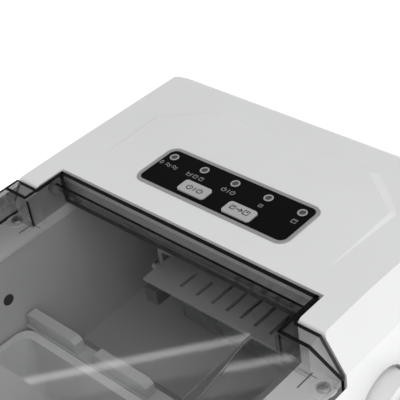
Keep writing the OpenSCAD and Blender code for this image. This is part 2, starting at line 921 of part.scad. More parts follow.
module compressor_base() color("dimgray") at_body() {
    difference() {
        box([comp_at[0] - 56, comp_at[1] - 46, 21], [comp_at[0] + 56, comp_at[1] + 46, 24]);
        for (x = mount_x, y = mount_y) {
            rod_z(20, 25, x, y, 3.2);
        }
    }
}

module compressor_grommets() color("dimgray") at_body() {
    for (x = mount_x, y = mount_y) {
        difference() {
            rod_z(foot_h + 3, 21, x, y, 8);
            rod_z(foot_h, 22, x, y, 3.2);
        }
    }
}

module compressor_bolts() color("silver") at_body() {
    for (x = mount_x, y = mount_y) {
        rod_z(foot_h + 3, 28, x, y, 3);
        translate([x, y, 24]) cylinder(h = 3, r = 6, $fn = 6);
    }
}

module starter_box() color("black") at_body() {
    difference() {
        box([comp_at[0] + 30, comp_at[1] - 17, 62], [comp_at[0] + 62, comp_at[1] + 17, 106]);
        rod_z(60, 110, comp_at[0], comp_at[1], comp_r);
    }
}

// ---------- condenser and fan ----------

module condenser_fins() color("silver") at_body() {
    for (i = [0 : 21]) {
        translate([0, 38.6 + 4 * i, 0]) rotate([90, 0, 0]) linear_extrude(0.8) difference() {
            translate([68, 32]) square([30, 91]);
            for (z = cond_rows) {
                translate([cond_x, z]) circle(pipe_r + 0.1);
            }
        }
    }
}

module condenser_frame() color("gray") at_body() {
    for (y = [34, 126]) {
        difference() {
            box([64, y, foot_h + 3], [101, y + 1.5, 126]);
            for (z = cond_rows) {
                rod_y(y - 1, y + 3, cond_x, z, pipe_r + 0.1);
            }
        }
    }
}

front_turn = 24;
back_turn = drier_at[0];
condenser_path = [[52.2, 75, 166], [cond_x, 75, 166], [cond_x, front_turn, 166],
    [cond_x, front_turn, 114], [cond_x, back_turn, 114], [cond_x, back_turn, 96],
    [cond_x, front_turn, 96], [cond_x, front_turn, 78], [cond_x, back_turn, 78],
    [cond_x, back_turn, 60], [cond_x, front_turn, 60], [cond_x, front_turn, 42],
    [cond_x, back_turn, 42], [50.2, back_turn, 42]];

module condenser_tube() color("peru") at_body() {
    tube_along(rounded_path(condenser_path, 7), pipe_r);
}

module fan_shroud() color("black") at_body() {
    difference() {
        box([42, fan_at[0] - 45, foot_h + 3], [62, fan_at[0] + 45, fan_at[1] + 47]);
        rod_x(46, 63, fan_at[0], fan_at[1], 43.5);
        rod_x(41, 47, fan_at[0], fan_at[1], 40);
    }
    for (a = [45 : 90 : 315]) {
        translate([42, fan_at[0], fan_at[1]]) rotate([a, 0, 0]) box([0, 16.1, -3], [3, 41, 3]);
    }
}

module fan_motor() color("gray") at_body() {
    rod_x(24, 45, fan_at[0], fan_at[1], 16);
    rod_x(45, 58, fan_at[0], fan_at[1], 2);
}

module fan_rotor() color("black") at_body() {
    translate([0, fan_at[0], fan_at[1]]) difference() {
        union() {
            rod_x(47, 59, 0, 0, 12);
            for (a = [0 : 360 / 7 : 359]) {
                rotate([a, 0, 0]) translate([53, 11, 0]) rotate([0, 35, 0])
                    box([-7, 0, -0.8], [7, 30, 0.8]);
            }
        }
        rod_x(40, 60, 0, 0, 2 + fit_gap);
    }
}

module filter_drier() color("peru") at_body() {
    rod_x(-8, 50, drier_at[0], drier_at[1], 7.5);
    rod_x(-12, -8, drier_at[0], drier_at[1], 3);
}

coil_r = 16;
coil_turns = 2.5;
coil_at = [-70, 126, 204];
coil = [for (i = [0 : 12 * coil_turns]) let (a = -90 - 30 * i)
    [coil_at[0] + coil_r * cos(a), coil_at[1] + 4 + 0.28 * i, coil_at[2] + coil_r * sin(a)]];
capillary_path = concat(
    rounded_path([[-12.2, 134, 42], [-70, 134, 42], [-70, 130, 150], [-70, 130, 185]], 5),
    coil,
    rounded_path([[-60, 138.4, 220], [-22, 138, 240], [-22, 136, 278], [-22, 107.6, 278],
        [-22, 107.6, tube_z - 3]], 4));

module capillary_tube() color("peru") at_body() {
    tube_along(capillary_path, 1.2);
}

module hot_gas_valve() color("steelblue") at_body() {
    box([28, 62, 155], [52, 88, 178]);
    rod_z(150, 155, 40, 75, 6);
}

discharge_path = [[comp_at[0], comp_at[1], 151.2], [comp_at[0], comp_at[1], 166], [27.8, 75, 166]];
suction_path = [[-8, 109.4, tube_z - 3], [-8, 109.4, 278], [-8, 132, 278], [-8, 132, 120],
    [comp_at[0], 132, 120], [comp_at[0], comp_at[1] + comp_r + 0.4, 120]];
hot_gas_path = [[40, 88.2, 166], [40, 132, 166], [40, 132, 278], [40, 84.8, 278], [40, 84.8, tube_z - 3]];

module refrigerant_pipes() color("peru") at_body() {
    for (path = [discharge_path, suction_path, hot_gas_path]) {
        tube_along(rounded_path(path, 5), 3);
    }
}

module power_board() color("green") at_body() {
    box([-95, 12, 40], [-15, 13.6, 148]);
    box([-90, -6, 50], [-56, 12, 84]);
    for (i = [0 : 2]) {
        box([-48, -2, 48 + 24 * i], [-24, 12, 64 + 24 * i]);
    }
    rod_y(-4, 12, -74, 110, 8);
    box([-90, 4, 126], [-50, 12, 140]);
}

loom_path = [[-55, 12.8, 148.2], [-55, 12.8, 162], [-99, 12.8, 162], [-99, 20, 210],
    [-99, 66, 276], [-99, 66, 288], [-60, 66, 288], [-46.2, 66, board_z + 0.8]];

module wiring_loom() color("dimgray") at_body() {
    tube_along(rounded_path(loom_path, 4), 2.4);
}

rubber_feet();
base_pan();
front_panel();
left_side_panel();
right_side_panel();
rear_panel();
housing_screws();
cord_gland();
drain_spout();
drain_plug();
top_cover();
panel_bezel();
panel_overlay();
on_off_button();
select_button();
indicator_rings();
indicator_lenses();
control_board();
tact_switches();
status_leds();
board_splash_cover();
lid();
lid_hinge_pins();
carry_handle();
handle_pivot_pins();
inner_liner();
foam_insulation();
ice_basket();
ir_emitter();
ir_receiver();
evaporator_plate();
evaporator_fingers();
evaporator_tube();
water_tray();
tray_shaft();
ice_shovel();
tray_gearmotor();
tray_limit_switch();
pump_body();
pump_impeller();
inlet_strainer();
water_hose();
compressor_shell();
compressor_motor();
compressor_base();
compressor_grommets();
compressor_bolts();
starter_box();
condenser_fins();
condenser_frame();
condenser_tube();
fan_shroud();
fan_motor();
fan_rotor();
filter_drier();
capillary_tube();
hot_gas_valve();
refrigerant_pipes();
power_board();
wiring_loom();
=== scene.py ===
# %% [markdown]
# # A countertop ice maker
# The machine is a white plastic box with a deck at the back, a control panel
# on the deck and a smoked lid over the ice chamber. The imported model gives
# every part its place. This script gives each one its finish and builds
# better skins for the parts that are seen. All lengths are in metres in the
# scene, and in millimetres wherever a drawing would have them.
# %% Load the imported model
import math
import bmesh
import bpy
from mathutils import Matrix, Vector


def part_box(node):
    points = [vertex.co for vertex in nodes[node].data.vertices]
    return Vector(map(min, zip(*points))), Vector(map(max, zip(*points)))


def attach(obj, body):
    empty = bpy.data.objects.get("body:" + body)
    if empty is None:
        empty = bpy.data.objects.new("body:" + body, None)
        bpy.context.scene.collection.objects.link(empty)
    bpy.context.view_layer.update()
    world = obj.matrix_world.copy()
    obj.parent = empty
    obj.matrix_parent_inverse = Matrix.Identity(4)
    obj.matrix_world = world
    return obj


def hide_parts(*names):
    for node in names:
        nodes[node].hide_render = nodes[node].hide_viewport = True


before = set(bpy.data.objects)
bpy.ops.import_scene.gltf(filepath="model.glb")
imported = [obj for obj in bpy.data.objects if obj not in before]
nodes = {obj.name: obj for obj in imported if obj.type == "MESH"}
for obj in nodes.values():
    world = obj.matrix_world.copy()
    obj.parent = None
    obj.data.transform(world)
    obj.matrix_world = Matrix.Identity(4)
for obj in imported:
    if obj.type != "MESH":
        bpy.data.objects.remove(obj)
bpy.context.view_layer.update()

# %% [markdown]
# ## One ruler for everything
# The four feet stand square under the body, so the middle of their box is the
# middle of the body. Heights are taken from the flat top of the cover, where
# the lid, the deck and the panel all meet. One helper turns a drawing point
# into a point of the scene, so every later size can stay in millimetres.
# %% Drawing points
MM = 0.001
feet_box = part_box("rubber_feet")
cover_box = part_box("top_cover")
middle_y = (feet_box[0].y + feet_box[1].y) / 2
flat_top = cover_box[1].z
half_w = cover_box[1].x / MM
body_h = flat_top / MM


def place(x, y, z):
    """A point given in millimetres from the middle of the body and from its flat top."""
    return Vector((x * MM, middle_y + y * MM, flat_top + z * MM))


print("the body is", round(2 * half_w), "mm wide and", round(body_h), "mm high")

# %% [markdown]
# ## Shader sums in plain Python
# A material is a graph of nodes, and most of the graph is arithmetic. A small
# class wraps one output socket and adds a Math node for each operator, so a
# rule such as `0.4 + 0.1 * noise` reads as it does on paper.
# %% A value that adds its own Math nodes
class Value:
    """One number that varies over a surface."""

    def __init__(self, finish, socket):
        self.finish = finish
        self.socket = socket

    def calc(self, operation, first, second=0.0):
        made = self.finish.node("ShaderNodeMath", {"operation": operation}, {0: first, 1: second})
        return Value(self.finish, made.outputs[0])

    def __add__(self, other):
        return self.calc("ADD", self, other)

    def __radd__(self, other):
        return self.calc("ADD", other, self)

    def __sub__(self, other):
        return self.calc("SUBTRACT", self, other)

    def __rsub__(self, other):
        return self.calc("SUBTRACT", other, self)

    def __mul__(self, other):
        return self.calc("MULTIPLY", self, other)

    def __rmul__(self, other):
        return self.calc("MULTIPLY", other, self)

    def __pow__(self, other):
        return self.calc("POWER", self, other)

    def above(self, level):
        return self.calc("GREATER_THAN", self, level)

    def held(self):
        """The value kept between 0 and 1."""
        made = self.finish.node("ShaderNodeClamp", {}, {"Value": self})
        return Value(self.finish, made.outputs[0])


print("sums over a surface are ready")

# %% [markdown]
# ## One place that makes every other node
# All other nodes come from one method. It takes the node's type, then its
# settings, because a Math node's operation changes which sockets it has, and
# then the values or links of its sockets. Patterns read the object's own
# coordinates, so they stay put when a part moves.
# %% A material under construction
WAVES_PER_METRE = 3.2  # a wave texture of scale 1 draws about this many


class Finish:
    """A node material."""

    def __init__(self, name):
        self.material = bpy.data.materials.new(name)
        self.material.use_nodes = True
        self.tree = self.material.node_tree
        self.tree.nodes.clear()
        self.point = self.node("ShaderNodeTexCoord").outputs["Object"]

    def node(self, kind, settings=None, inputs=None):
        made = self.tree.nodes.new(kind)
        for name, value in (settings or {}).items():
            setattr(made, name, value)
        for key, value in (inputs or {}).items():
            socket = made.inputs[key]
            if isinstance(value, Value):
                value = value.socket
            if isinstance(value, bpy.types.NodeSocket):
                self.tree.links.new(value, socket)
            elif socket.type == "RGBA" and len(value) == 3:
                socket.default_value = (*value, 1.0)
            else:
                socket.default_value = value
        return made

    def stretched(self, scale):
        made = self.node("ShaderNodeMapping", {}, {"Vector": self.point, "Scale": scale})
        return made.outputs["Vector"]

    def noise(self, size_mm, detail=3.0, along=None):
        """Cloudy noise whose lumps are about size_mm across; along stretches them."""
        where = self.stretched(along) if along else self.point
        made = self.node("ShaderNodeTexNoise", {},
                         {"Vector": where, "Scale": 1 / (size_mm * MM), "Detail": detail})
        return Value(self, made.outputs["Fac"])

    def cells(self, size_mm):
        """Distance to the nearest of many scattered points."""
        made = self.node("ShaderNodeTexVoronoi", {}, {"Vector": self.point, "Scale": 1 / (size_mm * MM)})
        return Value(self, made.outputs["Distance"])

    def stripes(self, size_mm, direction="X"):
        """Soft stripes, size_mm from one to the next."""
        scale = 1 / (size_mm * MM) / WAVES_PER_METRE
        made = self.node("ShaderNodeTexWave", {"bands_direction": direction},
                         {"Vector": self.point, "Scale": scale, "Distortion": 0.0})
        return Value(self, made.outputs["Fac"])

    def blend(self, share, first, second):
        """Colour first where share is 0, and second where it is 1."""
        made = self.node("ShaderNodeMix", {"data_type": "RGBA"}, {0: share, 6: first, 7: second})
        return made.outputs[2]

    def bump(self, height, depth_mm, strength=1.0):
        made = self.node("ShaderNodeBump", {},
                         {"Height": height, "Distance": depth_mm * MM, "Strength": strength})
        return made.outputs["Normal"]

    def surface(self, inputs):
        """The main shader, with its sockets filled."""
        return self.node("ShaderNodeBsdfPrincipled", {}, inputs).outputs[0]

    def done(self, shader):
        """Joins the shader to the output and hands over the material."""
        out = self.node("ShaderNodeOutputMaterial", {}, {"Surface": shader})
        out.is_active_output = True
        return self.material


def shade(colour, by):
    """The colour made lighter or darker by a factor."""
    return tuple(min(1.0, c * by) for c in colour)


print("finishes are drawn in units of", MM, "m")

# %% [markdown]
# ## Moulded plastic
# Injection-moulded plastic is never one flat colour: it has a slow mottle
# from the flow of the melt, a fine grain from the mould, a faint waviness
# that shows in reflections, and specks of dust. An image would have to be
# laid on each part without seams, so the pattern is worked out in space
# instead. One function makes it, and each part chooses how strong it is.
# %% Moulded plastic and rubber
def moulded(name, colour, gloss=0.38, grain=0.25, grain_mm=0.35, mottle=0.03, dust=0.05, sheen=0.5):
    """Noise sizes are in millimetres: mottle, grain, waviness, rubbed patches, dust."""
    f = Finish(name)
    slow = f.noise(45, 2.0)
    fine = f.noise(grain_mm, 2.0)
    waves = f.noise(6.0, 1.0)
    rub = f.noise(16, 4.0, (1.0, 0.35, 1.0))
    tone = f.blend(slow, shade(colour, 1 - mottle), shade(colour, 1 + mottle))
    specks = (1 - f.cells(4.5)).above(0.955)
    tone = f.blend(specks * dust, tone, shade(colour, 0.75))
    height = fine * grain + waves * 0.5
    return f.done(f.surface({
        "Base Color": tone,
        "Roughness": gloss - 0.05 + 0.1 * rub,
        "IOR": 1.5, "Specular IOR Level": sheen,
        "Normal": f.bump(height, 0.03, 0.5)}))


WHITE = (0.71, 0.713, 0.716)
shell_white = moulded("shell_white", WHITE, 0.36)
liner_white = moulded("liner_white", (0.56, 0.563, 0.566), 0.3, grain=0.08, mottle=0.02)
basket_white = moulded("basket_white", (0.68, 0.683, 0.686), 0.24, grain=0.05)
base_white = moulded("base_white", (0.6, 0.6, 0.6), 0.5, grain=0.9, grain_mm=0.6)
grip_white = moulded("grip_white", (0.68, 0.68, 0.68), 0.32, grain=0.15)
soft_black = moulded("soft_black", (0.022, 0.022, 0.023), 0.72, grain=0.8, mottle=0.15)
part_black = moulded("part_black", (0.03, 0.03, 0.031), 0.45, grain=0.5, mottle=0.1)
switch_grey = moulded("switch_grey", (0.2, 0.2, 0.2), 0.45, grain=0.5)
part_grey = moulded("part_grey", (0.33, 0.335, 0.34), 0.42, grain=0.4)
shovel_grey = moulded("shovel_grey", (0.31, 0.313, 0.316), 0.4, grain=0.2)
tray_pale = moulded("tray_pale", (0.2, 0.205, 0.21), 0.28, grain=0.06)
impeller_cream = moulded("impeller_cream", (0.6, 0.58, 0.52), 0.4)
hose_milk = moulded("hose_milk", (0.55, 0.56, 0.56), 0.33, grain=0.1, mottle=0.08)
coil_blue = moulded("coil_blue", (0.03, 0.08, 0.25), 0.35)
print("moulded finishes are ready")

# %% [markdown]
# ## Metals
# Drawn tube and rolled strip carry fine lines along the way they were worked,
# and their shine varies with handling. An anisotropic shader would need a
# direction on every face, so the lines are noise stretched along one axis.
# Copper also darkens in patches where it was brazed.
# %% Worked metal
def worked(name, colour, gloss=0.3, along=(0.06, 1.0, 1.0), tarnish=0.15, metallic=1.0):
    """Metal with lines along the way it was drawn or rolled, and dull patches."""
    f = Finish(name)
    lines = f.noise(0.5, 3.0, along)
    patches = f.noise(18, 4.0)
    tone = f.blend((patches - 0.45).held() * 2.5, colour, shade(colour, 1 - tarnish))
    return f.done(f.surface({
        "Base Color": tone,
        "Metallic": metallic,
        "Roughness": gloss + 0.12 * lines + 0.08 * patches,
        "Normal": f.bump(lines, 0.01, 0.35)}))


screw_steel = worked("screw_steel", (0.55, 0.55, 0.56), 0.3)
zinc_sheet = worked("zinc_sheet", (0.5, 0.51, 0.53), 0.38, tarnish=0.25)
bright_nickel = worked("bright_nickel", (0.62, 0.62, 0.61), 0.14)
bare_fin = worked("bare_fin", (0.68, 0.69, 0.7), 0.32)
tube_copper = worked("tube_copper", (0.72, 0.33, 0.19), 0.24, tarnish=0.45)
black_enamel = moulded("black_enamel", (0.012, 0.012, 0.012), 0.22, grain=0.1)
motor_iron = worked("motor_iron", (0.3, 0.22, 0.16), 0.5, tarnish=0.4)
print("metal finishes are ready")

# %% [markdown]
# ## Board, foam and lamps
# The two circuit boards are glass laminate under a green mask, the tank is
# wrapped in foam with open cells, and the lamps are small epoxy domes. Weave
# and cells are patterns too, because both repeat at a known size.
# %% Small finishes
def board_finish():
    f = Finish("board_green")
    weave = f.stripes(0.9, "X") * f.stripes(0.9, "Y")
    tone = f.blend(weave, (0.008, 0.08, 0.03), (0.02, 0.15, 0.06))
    return f.done(f.surface({"Base Color": tone, "Roughness": 0.25 + 0.2 * weave,
                             "Normal": f.bump(weave, 0.02, 0.4)}))


def foam_finish():
    f = Finish("foam_cream")
    pores = f.cells(1.6)
    tone = f.blend(pores, (0.42, 0.36, 0.22), (0.68, 0.62, 0.44))
    return f.done(f.surface({"Base Color": tone, "Roughness": 0.8 + 0.15 * pores,
                             "Normal": f.bump(pores, 0.5, 0.8)}))


board_green = board_finish()
foam_cream = foam_finish()
led_clear = moulded("led_clear", (0.5, 0.55, 0.5), 0.12, grain=0.02)
print("board, foam and lamp finishes are ready")

# %% [markdown]
# ## Smoked lid
# The lid is clear plastic with a grey dye. A ray that goes straight through a
# wall loses some of its light at each face, and the face also mirrors the room
# more and more as it is seen at a slant. Schlick's rule gives that share from
# the facing angle. Real refraction would stop lamps from lighting what is
# inside, so the light goes straight through instead. The steep left flank has
# the same dye, but it gets a darker finish that lets less through: painted
# shade on the left side only.
# %% Smoked plastic, seen through its face and along its edge
def smoked(name, through, haze=0.015):
    """Smoked plastic. One face passes this share of the light straight through."""
    f = Finish(name)
    facing = Value(f, f.node("ShaderNodeLayerWeight", {}, {"Blend": 0.5}).outputs["Facing"])
    mirror_share = 0.045 + 0.955 * facing ** 5.0
    smear = f.noise(22, 4.0, (1.0, 0.4, 1.0))
    waves = f.noise(30, 1.0)
    gloss = f.node("ShaderNodeBsdfGlossy", {}, {
        "Color": (0.95, 0.95, 0.95),
        "Roughness": haze + 0.03 * smear,
        "Normal": f.bump(waves, 0.02, 0.2)})
    clear = f.node("ShaderNodeBsdfTransparent", {}, {"Color": (through, through, through)})
    both = f.node("ShaderNodeMixShader", {}, {0: mirror_share, 1: clear.outputs[0], 2: gloss.outputs[0]})
    return f.done(both.outputs[0])


def smoked_edge(name, tone, open_share):
    """Where the eye looks along a wall, the dye adds up to nearly black."""
    f = Finish(name)
    lines = f.noise(0.8, 2.0, (0.1, 1.0, 1.0))
    solid = f.surface({
        "Base Color": f.blend(lines, shade((tone,) * 3, 0.7), shade((tone,) * 3, 1.3)),
        "Roughness": 0.25 + 0.15 * lines, "Specular IOR Level": 0.15})
    clear = f.node("ShaderNodeBsdfTransparent", {}, {"Color": (0.5, 0.5, 0.5)})
    both = f.node("ShaderNodeMixShader", {}, {0: 1 - open_share, 1: clear.outputs[0], 2: solid})
    return f.done(both.outputs[0])


lid_clear = smoked("lid_clear", 0.90)
lid_wall = smoked("lid_wall", 0.86)
# painted shade: a darker finish for the left flank only, whose dye is the same as elsewhere
left_flank_painted_shade = smoked("left_flank_painted_shade", 0.36)
# a lighter grey that paints highlights on the edges of the step
step_painted_highlight = moulded("step_painted_highlight", (0.14, 0.14, 0.14), 0.35, grain=0.5)
lid_edge = smoked_edge("lid_edge", 0.006, 0.06)
print("lid finishes are ready")

# %% [markdown]
# ## Control panel finishes
# The panel is a printed film in a silver frame with a fine slanted hatch. The
# keys are sprayed light grey, and the marks are screen printed. The hatch is
# far too fine to model, so it is stripes turned on the spot. The film hardly
# shines, and it needs its sheen turned down to stay black under the room.
# %% Film, frame, keys and ink
HATCH_TURN = math.radians(38)


def hatched(name, colour, pitch_mm, gloss, metallic=0.0):
    """Paint over fine slanted lines."""
    f = Finish(name)
    turned = f.node("ShaderNodeMapping", {}, {"Vector": f.point, "Rotation": (0, 0, HATCH_TURN)})
    wave = f.node("ShaderNodeTexWave", {"bands_direction": "X"},
                  {"Vector": turned.outputs[0], "Scale": 1 / (pitch_mm * MM) / WAVES_PER_METRE})
    lines = Value(f, wave.outputs["Fac"])
    spots = f.noise(0.3, 2.0)
    tone = f.blend(0.6 * lines + 0.4 * spots, shade(colour, 0.86), shade(colour, 1.12))
    return f.done(f.surface({
        "Base Color": tone, "Metallic": metallic,
        "Roughness": gloss + 0.12 * spots,
        "Normal": f.bump(lines, 0.03, 0.4)}))


frame_silver = hatched("frame_silver", (0.34, 0.34, 0.34), 0.9, 0.38, 0.25)
key_grey = hatched("key_grey", (0.39, 0.39, 0.39), 0.7, 0.4)
film_black = moulded("film_black", (0.0035, 0.0035, 0.0037), 0.5, grain=0.5, grain_mm=0.25, dust=0.02,
                     sheen=0.05)
ink_grey = moulded("ink_grey", (0.24, 0.24, 0.24), 0.5, grain=0.6)
ink_dark = moulded("ink_dark", (0.035, 0.035, 0.035), 0.5, grain=0.6)
ring_grey = moulded("ring_grey", (0.3, 0.3, 0.3), 0.4, grain=0.4)
lens_dark = moulded("lens_dark", (0.075, 0.078, 0.075), 0.16, grain=0.05)
print("panel finishes are ready")

# %% [markdown]
# ## Pieces from points
# A new piece is a list of points and faces. They are gathered in a bmesh,
# which can merge doubled points and turn all faces outwards before the mesh
# is made.
# %% A piece from a bmesh
WELD = 0.00001


def finished_mesh(name, bm, materials, smooth=True, turn_out=True):
    """Makes an object at the origin from a bmesh."""
    bmesh.ops.remove_doubles(bm, verts=bm.verts, dist=WELD)
    if turn_out:
        bmesh.ops.recalc_face_normals(bm, faces=bm.faces)
    for face in bm.faces:
        face.smooth = smooth
    mesh = bpy.data.meshes.new(name)
    bm.to_mesh(mesh)
    bm.free()
    for material in materials:
        mesh.materials.append(material)
    made = bpy.data.objects.new(name, mesh)
    bpy.context.scene.collection.objects.link(made)
    return made


print("points closer than", WELD, "m count as one")

# %% [markdown]
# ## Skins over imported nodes
# Every moulded edge on the real machine has a small radius, and it is the
# radius that catches the light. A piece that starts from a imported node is
# copied first, its doubled points are merged and its flat triangles are
# joined into whole faces, and only then are its edges rounded: a bevel needs
# real edges to work on. Subdivision would round them too, but it would pull
# the flat faces in.
# %% Rounded copies, and plain paint
FLAT = math.radians(0.8)


def rounded(piece, width_mm, angle=28, segments=3):
    """Rounds every edge sharper than the angle, and keeps flat faces flat."""
    bevel = piece.modifiers.new("edge_radius", "BEVEL")
    bevel.width = width_mm * MM
    bevel.segments = segments
    bevel.limit_method = "ANGLE"
    bevel.angle_limit = math.radians(angle)
    bevel.harden_normals = False
    normals = piece.modifiers.new("flat_faces", "WEIGHTED_NORMAL")
    normals.keep_sharp = True
    return piece


def node_bmesh(node):
    """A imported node's shape with whole faces in place of its triangles."""
    bm = bmesh.new()
    bm.from_mesh(nodes[node].data)
    bmesh.ops.remove_doubles(bm, verts=bm.verts, dist=WELD)
    bmesh.ops.dissolve_limit(bm, angle_limit=FLAT, verts=bm.verts, edges=bm.edges)
    return bm


def softened(name, node, material, width_mm=0.6, angle=28, body="housing"):
    """The node's own shape with rounded edges, standing in its place."""
    piece = finished_mesh(name, node_bmesh(node), [material], turn_out=False)
    rounded(piece, width_mm, angle)
    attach(piece, body)
    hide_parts(node)
    print(name, len(piece.data.polygons), "faces before its edges are rounded")
    return piece


def painted(node, material):
    """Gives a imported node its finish."""
    mesh = nodes[node].data
    mesh.materials.clear()
    mesh.materials.append(material)


print("faces within", round(math.degrees(FLAT), 1), "degrees of each other are joined")

# %% [markdown]
# ## Camera
# The machine is seen from above its front right corner, turned a little, with
# a long lens. The camera is set by where it aims, how far off it stands, and
# its three angles, as a tripod head would be. An aim constraint could turn it,
# but a matrix from three directions says the same in one line.
# %% Camera
aim = place(-5.957, 54.032, 0)
turn, rise, roll = math.radians(47.987), math.radians(36.969), math.radians(-9.152)
distance = 0.544544
back = Vector((math.sin(turn) * math.cos(rise), -math.cos(turn) * math.cos(rise), math.sin(rise)))
level = Vector((math.cos(turn), math.sin(turn), 0))
upright = back.cross(level)
right = math.cos(roll) * level + math.sin(roll) * upright
up = -math.sin(roll) * level + math.cos(roll) * upright
camera_data = bpy.data.cameras.new("camera")
camera_data.lens = 98.46
camera_data.sensor_width = 36.0
camera_data.clip_start = 10 * MM
camera = bpy.data.objects.new("camera", camera_data)
bpy.context.scene.collection.objects.link(camera)
camera_turn = Matrix((right, up, back)).transposed().to_4x4()
camera.matrix_world = Matrix.Translation(aim + distance * back) @ camera_turn
bpy.context.scene.camera = camera
print("the camera stands", round(distance, 3), "m from the deck")

# %% [markdown]
# ## Housing
# The housing is a base pan, four panels and the top cover. They are moulded
# separately, so each keeps its own edges, and the small gaps between them are
# part of the look. Their shapes could be built anew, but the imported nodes
# already have the right ones, so each only gets softer edges: the hard base
# and the grip a wide radius, the thin panels a narrow one.
# %% Panels and cover
softened("cover_shell", "top_cover", shell_white, 0.9, 12)
softened("front_shell", "front_panel", shell_white, 0.5)
softened("left_shell", "left_side_panel", shell_white, 0.4)
softened("right_shell", "right_side_panel", shell_white, 0.4)
softened("rear_shell", "rear_panel", shell_white, 0.4)
softened("base_shell", "base_pan", base_white, 1.2)
softened("feet_pads", "rubber_feet", soft_black, 1.2)
softened("drain_cap", "drain_plug", soft_black, 0.6, body="plug")
softened("grip_bow", "carry_handle", grip_white, 1.6, body="handle")

# %% [markdown]
# ## Ice chamber
# Inside, the liner, the basket, the tray and the shovel are smooth plastic
# with generous radii, so that ice slides and scale wipes off. They are skins
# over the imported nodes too. Each rides on its own body, so that the basket
# lifts and the tray tips with its finish on.
# %% Liner, basket, tray and shovel
softened("chamber_liner", "inner_liner", liner_white, 0.9)
softened("basket_shell", "ice_basket", basket_white, 0.5, body="basket")
softened("tray_shell", "water_tray", tray_pale, 0.6, body="tray")
softened("shovel_plate", "ice_shovel", shovel_grey, 0.4, body="shovel")

# %% [markdown]
# ## Parts that keep their imported shape
# Most parts behind the panels are hardly seen: a compressor, tubes, boards, a
# fan. Their imported shapes are good enough from every angle, so they only get
# the finish of the material they are made of. The steel lid hinge pins get a
# dark grey instead: painted shade.
# %% Paint the inner parts
plain_parts = {
        "cord_gland": soft_black, "drain_spout": part_grey,
        "panel_overlay": film_black, "indicator_lenses": lens_dark,
        "control_board": board_green, "tact_switches": part_black, "status_leds": led_clear,
        # the lid hinge pins are steel; their dark grey is painted shade
        "board_splash_cover": shell_white, "lid_hinge_pins": switch_grey,
        "handle_pivot_pins": screw_steel, "foam_insulation": foam_cream, "ir_emitter": part_black,
        "ir_receiver": part_black, "evaporator_plate": bright_nickel,
        "evaporator_fingers": bright_nickel, "evaporator_tube": tube_copper,
        "tray_shaft": screw_steel, "tray_gearmotor": part_grey, "tray_limit_switch": switch_grey,
        "pump_body": part_black, "pump_impeller": impeller_cream, "inlet_strainer": part_grey,
        "water_hose": hose_milk, "compressor_shell": black_enamel, "compressor_motor": motor_iron,
        "compressor_base": zinc_sheet, "compressor_grommets": soft_black,
        "compressor_bolts": screw_steel, "starter_box": part_black, "condenser_fins": bare_fin,
        "condenser_frame": zinc_sheet, "condenser_tube": tube_copper, "fan_shroud": part_black,
        "fan_motor": zinc_sheet, "fan_rotor": part_black, "filter_drier": tube_copper,
        "capillary_tube": tube_copper, "hot_gas_valve": coil_blue,
        "refrigerant_pipes": tube_copper, "power_board": board_green, "wiring_loom": part_black}
for node, material in plain_parts.items():
    painted(node, material)
print(len(plain_parts), "parts keep their packed shape")

# %% [markdown]
# ## Many copies from one
# Screws, rings and louvres repeat. A Python loop could copy them, but
# Geometry Nodes places them all from one set of points instead. A carrier
# mesh holds one point per place. The node group puts a copy of a prototype on
# each point, turns it, spins it by a seeded random angle, and makes it real.
# The result becomes a plain mesh, and the carrier and the prototype go away.
# %% Repeat a prototype on points
def repeated(name, spots, prototype, material, turn=(0.0, 0.0, 0.0), spin=0.0, seed=7):
    """One mesh with a copy of the prototype on every spot."""
    tree = bpy.data.node_groups.new(name + "_copies", "GeometryNodeTree")
    tree.interface.new_socket("Spots", in_out="INPUT", socket_type="NodeSocketGeometry")
    values = {}
    for label, kind, value in (
            ("Copy", "NodeSocketObject", prototype), ("Turn", "NodeSocketVector", turn),
            ("Spin", "NodeSocketFloat", spin), ("Seed", "NodeSocketInt", seed),
            ("Finish", "NodeSocketMaterial", material)):
        item = tree.interface.new_socket(label, in_out="INPUT", socket_type=kind)
        values[item.identifier] = value
    tree.interface.new_socket("Pieces", in_out="OUTPUT", socket_type="NodeSocketGeometry")

    def add(kind, links):
        made = tree.nodes.new(kind)
        for key, source in links.items():
            tree.links.new(source, made.inputs[key])
        return made

    given = add("NodeGroupInput", {}).outputs
    info = add("GeometryNodeObjectInfo", {"Object": given["Copy"]})
    copies = add("GeometryNodeInstanceOnPoints", {
        "Points": given["Spots"], "Instance": info.outputs["Geometry"], "Rotation": given["Turn"]})
    chance = add("FunctionNodeRandomValue", {"Seed": given["Seed"]})
    share = add("ShaderNodeMath", {0: chance.outputs[1], 1: given["Spin"]})
    share.operation = "MULTIPLY"
    about = add("ShaderNodeCombineXYZ", {"Z": share.outputs[0]})
    spun = add("GeometryNodeRotateInstances", {
        "Instances": copies.outputs[0], "Rotation": about.outputs[0]})
    real = add("GeometryNodeRealizeInstances", {0: spun.outputs[0]})
    painted_copies = add("GeometryNodeSetMaterial", {
        "Geometry": real.outputs[0], "Material": given["Finish"]})
    add("NodeGroupOutput", {0: painted_copies.outputs[0]})

    carrier_mesh = bpy.data.meshes.new(name + "_spots")
    carrier_mesh.from_pydata([tuple(spot) for spot in spots], [], [])
    carrier = bpy.data.objects.new(name + "_spots", carrier_mesh)
    bpy.context.scene.collection.objects.link(carrier)
    copier = carrier.modifiers.new("copies", "NODES")
    copier.node_group = tree
    for identifier, value in values.items():
        copier[identifier] = value
    seen = carrier.evaluated_get(bpy.context.evaluated_depsgraph_get())
    mesh = bpy.data.meshes.new_from_object(seen)
    carrier.modifiers.remove(copier)
    for spare in (carrier, prototype):
        bpy.data.objects.remove(spare)
    mesh.name = name
    mesh.materials.clear()
    mesh.materials.append(material)
    made = bpy.data.objects.new(name, mesh)
    bpy.context.scene.collection.objects.link(made)
    print(name, "has", len(spots), "copies and", len(mesh.polygons), "faces")
    return made


